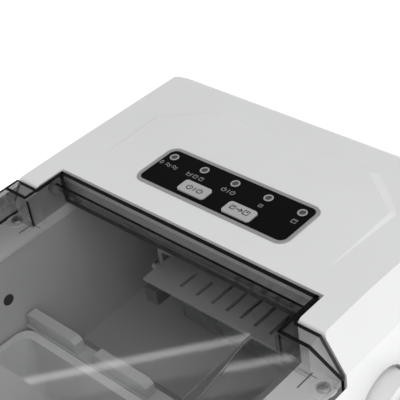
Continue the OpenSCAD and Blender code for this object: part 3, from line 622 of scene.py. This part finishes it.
# %% [markdown]
# ## Turned shapes
# Screws, lamp rings and bosses are round about one axis, so each is a profile
# of a few points swept round it, as on a lathe. The Screw modifier would do
# the same, but a short loop also serves inside a larger mesh.
# %% A small lathe
def join_loops(bm, near, far, index=0):
    """A band of faces between two loops of points of the same length."""
    for k in range(len(near)):
        m = (k + 1) % len(near)
        bm.faces.new((near[k], near[m], far[m], far[k])).material_index = index


def lathe(bm, profile, centre=(0, 0, 0), count=40, closed=False):
    """A turned shape. The profile runs over radius and height in millimetres."""
    rings = []
    for r, z in profile:
        rings.append([bm.verts.new(Vector((r * math.cos(a), r * math.sin(a), z)) * MM + Vector(centre))
                      for a in (2 * math.pi * k / count for k in range(count))])
    for low, high in zip(rings, rings[1:]):
        join_loops(bm, low, high)
    if closed:
        join_loops(bm, rings[-1], rings[0])
    return rings


print("the lathe is ready")

# %% [markdown]
# ## Screws
# A screw is a pan head with a cross recess over a plain shank. The head is
# turned, and a cross of two tapered bars is cut out of it, as the punch does
# in the factory. Four hold the rear panel and two stand on the ledges beside
# the lid. Each is spun by chance, since no fitter lines up the crosses.
# %% A cross-head screw
ARM_LONG, ARM_WIDE, ARM_DEEP, ARM_TAPER, ARM_MIDDLE = 3.6, 0.75, 2.4, 0.72, 1.95


def cross_screw():
    bm = bmesh.new()
    profile = [(0.01, 1.75), (1.2, 1.72), (2.2, 1.55), (2.9, 1.2), (3.15, 0.7), (3.2, 0.05), (3.0, 0.0),
               (1.5, 0.0), (1.5, -7.6), (0.9, -8.4), (0.01, -8.6)]
    rings = lathe(bm, profile)
    for ring in (rings[0], rings[-1]):
        bm.faces.new(ring)
    head = finished_mesh("screw_copy", bm, [screw_steel])
    cuts = bmesh.new()
    for wide, broad in ((ARM_LONG, ARM_WIDE), (ARM_WIDE, ARM_LONG)):
        bar = bmesh.ops.create_cube(cuts, size=1.0)["verts"]
        for v in bar:
            taper = ARM_TAPER if v.co.z < 0 else 1.0
            v.co = Vector((v.co.x * wide * taper, v.co.y * broad, v.co.z * ARM_DEEP + ARM_MIDDLE)) * MM
    cutter = finished_mesh("screw_cut", cuts, [screw_steel], smooth=False)
    recess = head.modifiers.new("recess", "BOOLEAN")
    recess.operation = "DIFFERENCE"
    recess.object = cutter
    recess.use_self = True
    cut_mesh = bpy.data.meshes.new_from_object(head.evaluated_get(bpy.context.evaluated_depsgraph_get()))
    head.modifiers.remove(recess)
    head.data = cut_mesh
    bpy.data.objects.remove(cutter)
    cut_mesh.polygons.foreach_set("use_smooth", [False] * len(cut_mesh.polygons))
    return head


print("a screw has a recess", ARM_LONG, "mm across")

# %% [markdown]
# ## Where the screws stand
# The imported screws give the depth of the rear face: their heads stand out
# from it by their own height. The new screws take the place of the packed
# ones, one set on the ledges and one on the rear panel.
# %% Screws on the ledges and on the rear
HEAD_MM = 1.8
LEDGE_Z, LEDGE_SCREW_X, LEDGE_SCREW_Y = -26.0, 104.2, 8.2
ledge_spots = [place(side * LEDGE_SCREW_X, LEDGE_SCREW_Y, LEDGE_Z) for side in (-1, 1)]
rear_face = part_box("housing_screws")[1].y - HEAD_MM * MM
rear_spots = [(x * MM, rear_face, z * MM) for x in (-92, 92) for z in (46, 200)]
ledge_screws = repeated("ledge_screws", ledge_spots, cross_screw(), screw_steel, spin=2.0, seed=4)
rear_screws = repeated("rear_screws", rear_spots, cross_screw(), screw_steel,
                       turn=(math.radians(-90), 0.0, 0.0), spin=3.0, seed=9)
for piece in (ledge_screws, rear_screws):
    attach(piece, "housing")
    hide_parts("housing_screws")

# %% [markdown]
# ## Control panel
# Five indicator rings are copies of one turned ring. The frame and the two
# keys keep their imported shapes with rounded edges. A torus would be too fat
# for a ring: the real one is a flat collar with a soft top.
# %% Rings, frame and keys
def ring_copy():
    bm = bmesh.new()
    profile = [(1.72, 0.0), (1.72, 0.3), (1.85, 0.42), (2.2, 0.46), (2.5, 0.38), (2.6, 0.2), (2.6, 0.0)]
    lathe(bm, profile, count=48, closed=True)
    return finished_mesh("ring_copy", bm, [ring_grey])


ring_row_y, ring_foot = 73.8, 0.1
ring_spots = [place(x, ring_row_y, ring_foot) for x in (-42.3, -20.7, 0.4, 22.1, 43.3)]
rings = repeated("lamp_rings", ring_spots, ring_copy(), ring_grey)
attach(rings, "housing")
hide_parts("indicator_rings")
softened("panel_frame", "panel_bezel", frame_silver, 0.3)
softened("on_off_cap", "on_off_button", key_grey, 0.45, body="on_off_key")
softened("select_cap", "select_button", key_grey, 0.45, body="select_key")

# %% [markdown]
# ## Marks instead of words
# The panel carries signs rather than lettering: water, a full basket, power,
# a small cube and a large cube. A text object could not draw them, and an
# image would blur close up. So each sign is a few strokes in a box two units
# wide, drawn as thin ribbons of ink that stand a hair above the surface.
# %% Signs as strokes
INK_THICK = 0.06


def arc(first, last, radius=0.85, steps=14):
    turn_by = [math.radians(first + (last - first) * k / steps) for k in range(steps + 1)]
    return [(radius * math.cos(a), radius * math.sin(a)) for a in turn_by]


SIGNS = {
    "drop": [[(0, 1), (-0.55, 0.1), *arc(190, 350, 0.62), (0.55, 0.1), (0, 1)]],
    "waves": [[(-1, y), (-0.5, y + 0.4), (0, y), (0.5, y - 0.4), (1, y)] for y in (-0.5, 0.4)],
    "cube": [[(-0.8, -0.8), (0.8, -0.8), (0.8, 0.8), (-0.8, 0.8), (-0.8, -0.8)],
             [(-0.3, 0.35), (0.3, 0.35)]],
    "basket": [[(-1, 0.9), (-0.75, -0.9), (0.75, -0.9), (1, 0.9)], [(-0.9, 0.2), (0.9, 0.2)]],
    "power": [arc(125, 415), [(0, 0.1), (0, 1.15)]],
    "bar": [[(0, -0.9), (0, 0.9)]],
    "arrow": [[(-1, 0), (0.9, 0)], [(0.1, 0.75), (0.95, 0), (0.1, -0.75)]],
}


def ribbon(bm, points, centre, size_mm, width_mm, top_mm):
    """A flat stroke of ink along the points, with square ends."""
    flat = [Vector((x * size_mm[0] / 2, y * size_mm[1] / 2)) for x, y in points]
    sections = []
    for i, here in enumerate(flat):
        before, after = flat[max(0, i - 1)], flat[min(len(flat) - 1, i + 1)]
        along = (after - before).normalized()
        beside = Vector((-along.y, along.x)) * width_mm / 2
        sections.append([bm.verts.new(place(centre[0] + p.x, centre[1] + p.y, top_mm + z))
                         for p, z in ((here + beside, 0), (here - beside, 0),
                                      (here - beside, -INK_THICK), (here + beside, -INK_THICK))])
    for near, far in zip(sections, sections[1:]):
        join_loops(bm, near, far)
    bm.faces.new(sections[0])
    bm.faces.new(sections[-1])


def signs(name, rows, material, body, top_mm, width_mm):
    """A piece of ink. Each row gives a sign, its middle and its size in millimetres."""
    bm = bmesh.new()
    for sign, x, y, wide, tall in rows:
        for points in SIGNS[sign]:
            ribbon(bm, points, (x, y), (wide, tall), width_mm, top_mm)
    piece = finished_mesh(name, bm, [material], smooth=False)
    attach(piece, body)
    print(name, "has", len(rows), "signs")


print("there are", len(SIGNS), "signs to choose from")

# %% [markdown]
# ## Signs on the film and on the keys
# The film is printed in grey and the keys in a darker ink. The signs of a key
# ride on the key, so that they go down with it.
# %% Print the signs
FILM_TOP, FILM_STROKE, KEY_TOP, KEY_STROKE = 0.15, 0.42, 1.04, 0.62
signs("panel_signs", [
    ("drop", -45.4, 67.2, 2.8, 3.4), ("waves", -40.6, 67.3, 3.6, 3.0), ("waves", -36.0, 67.3, 3.6, 3.0),
    ("basket", -25.4, 67.2, 3.2, 3.0), ("cube", -21.2, 67.2, 2.8, 2.9), ("cube", -17.2, 67.2, 2.8, 2.9),
    ("power", -1.6, 67.2, 3.0, 3.0), ("bar", 1.4, 67.2, 2.0, 3.0), ("power", 4.2, 67.2, 3.0, 3.0),
    ("cube", 22.6, 67.0, 2.4, 2.4), ("cube", 43.9, 66.6, 3.2, 3.2)],
    ink_grey, "housing", FILM_TOP, FILM_STROKE)
signs("on_off_signs", [
    ("power", -16.8, 58.2, 3.8, 3.5), ("bar", -13.4, 58.2, 2.0, 3.2), ("power", -10.0, 58.2, 3.8, 3.5)],
    ink_dark, "on_off_key", KEY_TOP, KEY_STROKE)
signs("select_signs", [
    ("cube", 12.6, 57.9, 3.2, 3.2), ("arrow", 16.8, 57.9, 4.0, 3.2), ("cube", 21.2, 57.9, 3.8, 3.8)],
    ink_dark, "select_key", KEY_TOP, KEY_STROKE)

# %% [markdown]
# ## Ledges beside the lid
# Each ledge has a low round boss for its screw, a slit that drains drips, and
# the seam where the ledge meets the cheek. The seam and the slit are grooves.
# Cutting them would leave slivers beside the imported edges, so they are drawn
# as dark strips that lie a hair above the ledge.
# %% Bosses, slits and seams
GROOVES = (((94.3, 1.7), (95.0, 12.8)), ((88.2, 10.9), (98.4, 11.3)), ((107.6, 10.9), (110.0, 11.3)))
GROOVE_DEEP, GROOVE_PROUD = 0.2, 0.03


def slab(bm, low, high, index=0):
    """A closed box between two drawing points."""
    made = bmesh.ops.create_cube(bm, size=1.0)
    for v in made["verts"]:
        share = [c + 0.5 for c in v.co]
        v.co = place(*[a + (b - a) * s for a, b, s in zip(low, high, share)])
    for face in {f for v in made["verts"] for f in v.link_faces}:
        face.material_index = index


def ledge_details():
    bm = bmesh.new()
    for side in (-1, 1):
        spot = place(side * LEDGE_SCREW_X, LEDGE_SCREW_Y, LEDGE_Z)
        lathe(bm, [(5.2, 0.0), (5.25, 0.28), (5.5, 0.4), (5.9, 0.28), (6.0, 0.0)], spot, 56, closed=True)
        for low, high in GROOVES:
            x0, x1 = sorted((side * low[0], side * high[0]))
            slab(bm, (x0, low[1], LEDGE_Z - GROOVE_DEEP), (x1, high[1], LEDGE_Z + GROOVE_PROUD), 1)
    piece = finished_mesh("ledge_details", bm, [shell_white, part_black], smooth=False)
    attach(piece, "housing")


ledge_details()
print("the ledges have their details")

# %% [markdown]
# ## Vents
# Behind the slots of the side panels and the rear panel stand slanted blades,
# so that air passes and a finger does not. One blade is copied to every slot:
# two rows of nine on each side and one row of fourteen on the rear.
# %% Louvre blades
BLADE_DEEP, BLADE_THICK, BLADE_LEAN, BLADE_EDGE = 5.2, 1.1, 3.12, 0.25
SLOT_PITCH, SIDE_ROW_PITCH, SIDE_SLOT_Y, SIDE_SLOT_Z = 10, 42, 36.5, 63
REAR_SLOT_X, REAR_SLOT_Z = -62.5, 155
SIDE_BLADE, REAR_BLADE, SIDE_INSET, REAR_INSET = 33.0, 53.0, 4.4, 4.6


def blade_copy(long_mm):
    bm = bmesh.new()
    made = bmesh.ops.create_cube(bm, size=1.0)["verts"]
    for v in made:
        lean = BLADE_LEAN * v.co.x
        v.co = Vector((v.co.x * BLADE_DEEP, v.co.y * BLADE_THICK + lean, v.co.z * long_mm)) * MM
    bmesh.ops.bevel(bm, geom=bm.edges[:], offset=BLADE_EDGE * MM, segments=2, affect="EDGES")
    return finished_mesh("blade_copy", bm, [shell_white])


def louvres(name, spots, long_mm, turn=(0.0, 0.0, 0.0)):
    piece = repeated(name, spots, blade_copy(long_mm), shell_white, turn=turn)
    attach(piece, "housing")


side_rows = [(SIDE_SLOT_Y + SLOT_PITCH * i, SIDE_SLOT_Z + SIDE_ROW_PITCH * j)
             for i in range(9) for j in range(2)]
for side, name in ((-1, "left_louvres"), (1, "right_louvres")):
    face_x = side * (half_w - SIDE_INSET) * MM
    louvres(name, [(face_x, middle_y + y * MM, z * MM) for y, z in side_rows], SIDE_BLADE)
rear_row = [(REAR_SLOT_X + SLOT_PITCH * i) * MM for i in range(14)]
louvres("rear_louvres", [(x, rear_face - REAR_INSET * MM, REAR_SLOT_Z * MM) for x in rear_row],
        REAR_BLADE, (0.0, 0.0, math.radians(90)))

# %% [markdown]
# ## Lid
# The lid is one moulding of even wall. Its outer face is a grid: across, it
# runs from the middle out over a shallow step to the chamfer and the lip, and
# from back to front it sinks a little inside the step and then slopes down to
# the nose. The margin outside the step sinks too, but less.
#
# EAR_Y is the back of the wide part and TONGUE_Y the back of the narrow part.
# The slope begins at RAIL_Y and ends at NOSE_Y. CREASE_X is where the flat
# margin turns down to the lip.
# %% Lid outline in numbers
EAR_Y, TONGUE_Y, TONGUE_HALF = 13.5, 32.2, 85.8
RAIL_Y, RAIL_DROP, NOSE_Y = -78.0, 50.0, -147.0
SINK_Y, SINK_SLOPE, SINK_MOST = -3.0, 0.04, 3.0
STEP_X, STEP_SPREAD, STEP_WIDEST = 76.0, 0.14, 8.0
MARGIN_SLOPE, MARGIN_MOST = 0.016, 1.2
CREASE_X, LIP_TOP, LIP_LOW, CORNER_R = 100.8, -18.7, -26.0, 16.0
LID_WALL = 2.5
KEEP_APART = 0.02


def fall(y):
    """How far the lid has sloped down at this place."""
    return RAIL_DROP * max(0.0, (RAIL_Y - y) / (RAIL_Y - NOSE_Y))


def widest(y):
    """Half width of the lid, which follows the round corners of the body."""
    into = CORNER_R - (y - NOSE_Y)
    return half_w - (CORNER_R - math.sqrt(CORNER_R ** 2 - into ** 2) if into > 0 else 0.0)


def lid_row(y):
    """One row of outer points from the middle to the lip, as x and z.

    Where the corner squeezes a row, its points stay a little apart.
    """
    ahead = max(0.0, SINK_Y - y)
    sink = min(SINK_MOST, SINK_SLOPE * ahead)
    spread = min(STEP_WIDEST, STEP_SPREAD * ahead)
    limit = widest(y)
    margin = -min(MARGIN_MOST, MARGIN_SLOPE * ahead)
    row = [(0, -sink), (40, -sink), (STEP_X - 0.01, -sink), (STEP_X + spread, margin),
           (TONGUE_HALF, margin), (CREASE_X, margin), (half_w, LIP_TOP), (half_w, LIP_LOW)]
    return [(min(x, limit - (half_w - x) * KEEP_APART), z - fall(y)) for x, z in row]


print("the lid is", round(TONGUE_Y - NOSE_Y, 1), "mm long and falls", RAIL_DROP, "mm at the nose")

# %% [markdown]
# ## Rows of the two grids
# The wide part of the lid has a row wherever its slope changes, and a few
# more round the corners of the nose, which then drops as an upright front.
# The narrow tongue behind it reuses the first points of the first row, and
# rolls over at its back edge.
# %% Lid rows
def wide_rows():
    stations = [EAR_Y, 5.6, SINK_Y, -20, -45, -62, RAIL_Y, -95, -115, NOSE_Y + CORNER_R]
    stations += [NOSE_Y + CORNER_R * (1 - math.sin(math.radians(a))) for a in (20, 40, 60, 78, 90)]
    rows = [[(x, y, z) for x, z in lid_row(y)] for y in stations]
    rows.append([(x, NOSE_Y, LIP_LOW - RAIL_DROP) for x, z in lid_row(NOSE_Y)])
    return rows


def tongue_rows():
    across = [x for x, z in lid_row(EAR_Y) if x <= TONGUE_HALF]
    rows = [[(x, y, 0.0) for x in across] for y in (EAR_Y, 22.0)]
    for a in (0, 30, 60, 90):
        r = math.radians(a)
        y, z = TONGUE_Y - LID_WALL * (1 - math.sin(r)), -LID_WALL * (1 - math.cos(r))
        rows.append([(x, y, z) for x in across])
    rows.append([(x, TONGUE_Y, LIP_TOP) for x in across])
    return rows


print("the lid has", len(wide_rows()), "rows on its wide part and", len(tongue_rows()), "on its tongue")

# %% [markdown]
# ## Lid skin
# The rows become faces, mirrored left and right. Solidify gives the skin its
# even wall, as moulding does, and the rim gets its own dark finish, because
# the eye looks along the dye there. The faces stay flat: smooth shading would
# bend the long reflections that a flat lid shows.
# %% Lid mesh
CHAMFER_COLUMN = 5


def lid_shell():
    bm = bmesh.new()
    for grid, is_wide in ((wide_rows(), True), (tongue_rows(), False)):
        for side in (1, -1):
            corners = [[bm.verts.new(place(side * x, y, z)) for x, y, z in row] for row in grid]
            for near, far in zip(corners, corners[1:]):
                for i in range(len(near) - 1):
                    face = bm.faces.new((near[i], near[i + 1], far[i + 1], far[i]))
                    # material 2 paints shade on the left chamfer and lip only
                    face.material_index = 2 if is_wide and side < 0 and i >= CHAMFER_COLUMN else 0
    bmesh.ops.dissolve_degenerate(bm, dist=WELD, edges=bm.edges)
    piece = finished_mesh("lid_shell", bm, [lid_clear, lid_edge, left_flank_painted_shade], smooth=False)
    if sum(p.normal.z * p.area for p in piece.data.polygons) < 0:
        piece.data.flip_normals()
    wall = piece.modifiers.new("wall", "SOLIDIFY")
    wall.thickness = LID_WALL * MM
    wall.offset = -1
    wall.use_even_offset = True
    wall.material_offset_rim = 1
    rounded(piece, 0.45, 20, 2)
    return piece


lid_shell_piece = lid_shell()
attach(lid_shell_piece, "lid")
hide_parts("lid")
print("lid_shell has", len(lid_shell_piece.data.polygons), "outer faces")

# %% [markdown]
# ## Strips in the face of the lid
# Where a wall hangs under the lid, the eye looks down its whole height
# through the dye, and the wall shows as a dark line. Light that follows such
# a path would have to be traced through real dye. A thin dark strip that lies
# in the outer face draws the same line at once.
# %% A strip along a path
def edge_strip(bm, path, thick_mm, index=1):
    """A thin strip whose top follows the path. Each point has an x range, a y range and z."""
    sections = []
    for (x0, x1), (y0, y1), z in path:
        sections.append([bm.verts.new(place(*p)) for p in (
            (x0, y0, z), (x1, y1, z), (x1, y1, z - thick_mm), (x0, y0, z - thick_mm))])
    for near, far in zip(sections, sections[1:]):
        join_loops(bm, near, far, index)
    for end in (sections[0], sections[-1]):
        bm.faces.new(end).material_index = index


def twice(value):
    return (value, value)


print("strips are ready")

# %% [markdown]
# ## Walls under the lid
# A skirt hangs under each side of the tongue, a rail runs across it near the
# back, and a rib runs out from each side to the lip. They keep steam in. Each
# has its dark strip. On the right the strip of the rib also runs down the chamfer and
# the lip, and two fine lighter strips are painted highlights along the edges of
# the shallow step, where its small radii catch the light. On the left a dark
# strip follows the crease above the flank.
# %% Skirt, ribs and strips
STRIP_TOP, STRIP_THICK, STRIP_THIN = 0.05, 0.4, 0.3
SKIRT_X, RIB_Y, RIB_LOW_Y, RIB_FOOT_X = 84.0, (4.2, 6.0), (10.8, 12.4), 112.06
RAIL_TOP = -LID_WALL - 0.05


def walls_of_side(bm, side):
    """The skirt wall, the rib and their strips on one side."""
    slab(bm, (side * 83.6, 5.6, LIP_TOP), (side * 85.7, 31.9, RAIL_TOP))
    slab(bm, (side * 83.0, 3.6, LIP_TOP), (side * 100.0, 5.6, RAIL_TOP))
    slab(bm, (side * 83.9, 5.2, STRIP_TOP - STRIP_THICK), (side * 85.6, 32.0, STRIP_TOP), 1)
    slab(bm, (side * SKIRT_X, 4.9, LIP_TOP), (side * 84.6, 5.6, RAIL_TOP), 1)
    rib = [(twice(side * x), RIB_Y, STRIP_TOP) for x in (SKIRT_X, CREASE_X)]
    if side > 0:
        rib += [(twice(RIB_FOOT_X), RIB_LOW_Y, z) for z in (LIP_TOP, LIP_LOW + 0.5)]
    edge_strip(bm, rib, STRIP_THICK)


def painted_step_highlights(bm):
    """Two fine painted highlights along the inner and outer edge of the step on the right."""
    edge_strip(bm, [((STEP_X - 0.15, STEP_X + 0.15), twice(y), STRIP_TOP - SINK_SLOPE * (SINK_Y - y))
                    for y in (SINK_Y, -40.0, RAIL_Y)], STRIP_THIN, 2)
    outer = ((SINK_Y, 0.0), (-60.1, STEP_WIDEST), (RAIL_Y, STEP_WIDEST))
    edge_strip(bm, [((STEP_X + out, STEP_X + out + 0.3), twice(y), STRIP_TOP - MARGIN_SLOPE * (SINK_Y - y))
                    for y, out in outer], STRIP_THIN, 2)


def lid_walls():
    bm = bmesh.new()
    for side in (1, -1):
        walls_of_side(bm, side)
    slab(bm, (-85.7, 29.8, STRIP_TOP - STRIP_THICK), (85.7, 31.9, STRIP_TOP), 1)
    slab(bm, (-83.4, 24.3, -6.5), (83.4, 25.2, RAIL_TOP))
    slab(bm, (-83.4, 24.2, RAIL_TOP - STRIP_THICK), (83.4, 25.3, RAIL_TOP), 1)
    edge_strip(bm, [((-CREASE_X, 0.9 - CREASE_X), twice(y), STRIP_TOP - MARGIN_SLOPE * max(0.0, SINK_Y - y))
                    for y in (13.3, SINK_Y, RAIL_Y)], 0.5)
    painted_step_highlights(bm)
    piece = finished_mesh("lid_walls", bm, [lid_wall, lid_edge, step_painted_highlight], smooth=False)
    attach(piece, "lid")
    return piece


print("lid_walls has", len(lid_walls().data.polygons), "faces")

# %% [markdown]
# ## Floor
# The machine stands on a plain pale sheet, as in a product picture. The sheet
# glows a little by itself, so that it stays white out to the horizon without
# more lamps, and a soft contact shadow still shows under the feet.
# %% Floor
FLOOR_REACH = 6.0


def flat_sheet(name, half_x, half_y, finish):
    """A level rectangle about the origin."""
    signs_of_corners = ((-1, -1), (1, -1), (1, 1), (-1, 1))
    mesh = bpy.data.meshes.new(name)
    mesh.from_pydata([(x * half_x, y * half_y, 0) for x, y in signs_of_corners], [], [(0, 1, 2, 3)])
    mesh.materials.append(finish)
    made = bpy.data.objects.new(name, mesh)
    bpy.context.scene.collection.objects.link(made)
    return made


def floor_finish():
    f = Finish("floor_pale")
    cloud = f.noise(300, 2.0)
    tone = f.blend(cloud, (0.87, 0.87, 0.87), (0.9, 0.9, 0.9))
    return f.done(f.surface({"Base Color": tone, "Roughness": 0.75 + 0.1 * cloud,
                             "Emission Color": (1.0, 1.0, 1.0), "Emission Strength": 0.45}))


flat_sheet("floor", FLOOR_REACH, FLOOR_REACH, floor_finish())
print("the floor is", 2 * FLOOR_REACH, "m wide")

# %% [markdown]
# ## Lamps
# A large soft lamp on the right brightens the right wall. Two long narrow
# lamps stand over the far left: the lid mirrors them as a streak with one
# sharp side and one soft side. The wider and weaker lamp draws the soft side.
# A lamp could be aimed by a constraint, but a matrix keeps its long side
# along the line between its two ends.
# %% Lamps
def lamp(name, where, towards, size, watts):
    data = bpy.data.lights.new(name, "AREA")
    data.shape = "RECTANGLE"
    data.size, data.size_y = size
    data.energy = watts
    made = bpy.data.objects.new(name, data)
    bpy.context.scene.collection.objects.link(made)
    made.location = where
    made.rotation_euler = (Vector(towards) - Vector(where)).to_track_quat("-Z", "Y").to_euler()
    return made


deck = place(0, 40, -40)
lamp("right_lamp", deck + Vector((1.25, -0.35, 1.05)), deck, (1.2, 1.2), 10.6)
streak_ends = (place(-1070, 75, 1000), place(-500, 746, 1000))
lid_middle = place(30, -40, 0)


def strip(name, shift_mm, width_mm, watts):
    """A long narrow lamp over the far left, turned to face the lid."""
    line = (streak_ends[1] - streak_ends[0]).normalized()
    middle = (streak_ends[0] + streak_ends[1]) / 2
    look = (middle - lid_middle).normalized()
    across = look.cross(line).normalized()
    made = lamp(name, middle, lid_middle, (1, 1), watts)
    made.data.size, made.data.size_y = (streak_ends[1] - streak_ends[0]).length, width_mm * MM
    middle = middle + across * (shift_mm * MM)
    made.matrix_world = Matrix.Translation(middle) @ Matrix((line, across, look)).transposed().to_4x4()
    return made


strip("streak_core", 1, 12, 0.105)
strip("streak_tail", -24, 34, 0.056)
print("there are", len(bpy.data.lights), "lamps")

# %% [markdown]
# ## Dark card
# The room behind those lamps is dark. A large dark card stands there. Only
# mirror rays meet it, so it dims what the lid and the film mirror and leaves
# the soft light alone.
# %% Dark card
def card_finish():
    f = Finish("card_dark")
    weave = f.stripes(4.0, "X") * f.stripes(4.0, "Y")
    tone = f.blend(weave, (0.004, 0.004, 0.004), (0.012, 0.012, 0.012))
    return f.done(f.surface({"Base Color": tone, "Roughness": 0.9 + 0.1 * weave}))


card = flat_sheet("dark_card", 1.5, 1.2, card_finish())
card_place = place(-1300, 800, 1850)
card.matrix_world = Matrix.Translation(card_place) @ (
    card_place - lid_middle).to_track_quat("Z", "Y").to_matrix().to_4x4()
card.visible_camera = False
card.visible_diffuse = False
card.visible_transmission = False
card.visible_shadow = False
print("the card stands", round((card_place - lid_middle).length, 2), "m from the lid")

# %% [markdown]
# ## Even room
# Most of the light comes from all round, as in a light tent, so shadows stay
# soft. A picture of a studio could light it too, but an even white does.
# %% Even room
room = bpy.data.worlds.new("room")
room.use_nodes = True
sky = room.node_tree.nodes["Background"].inputs
sky["Color"].default_value = (1, 1, 1, 1)
sky["Strength"].default_value = 0.75
bpy.context.scene.world = room
bpy.context.scene.view_settings.view_transform = "Standard"
print("the room gives", round(sky["Strength"].default_value, 2), "of full white")
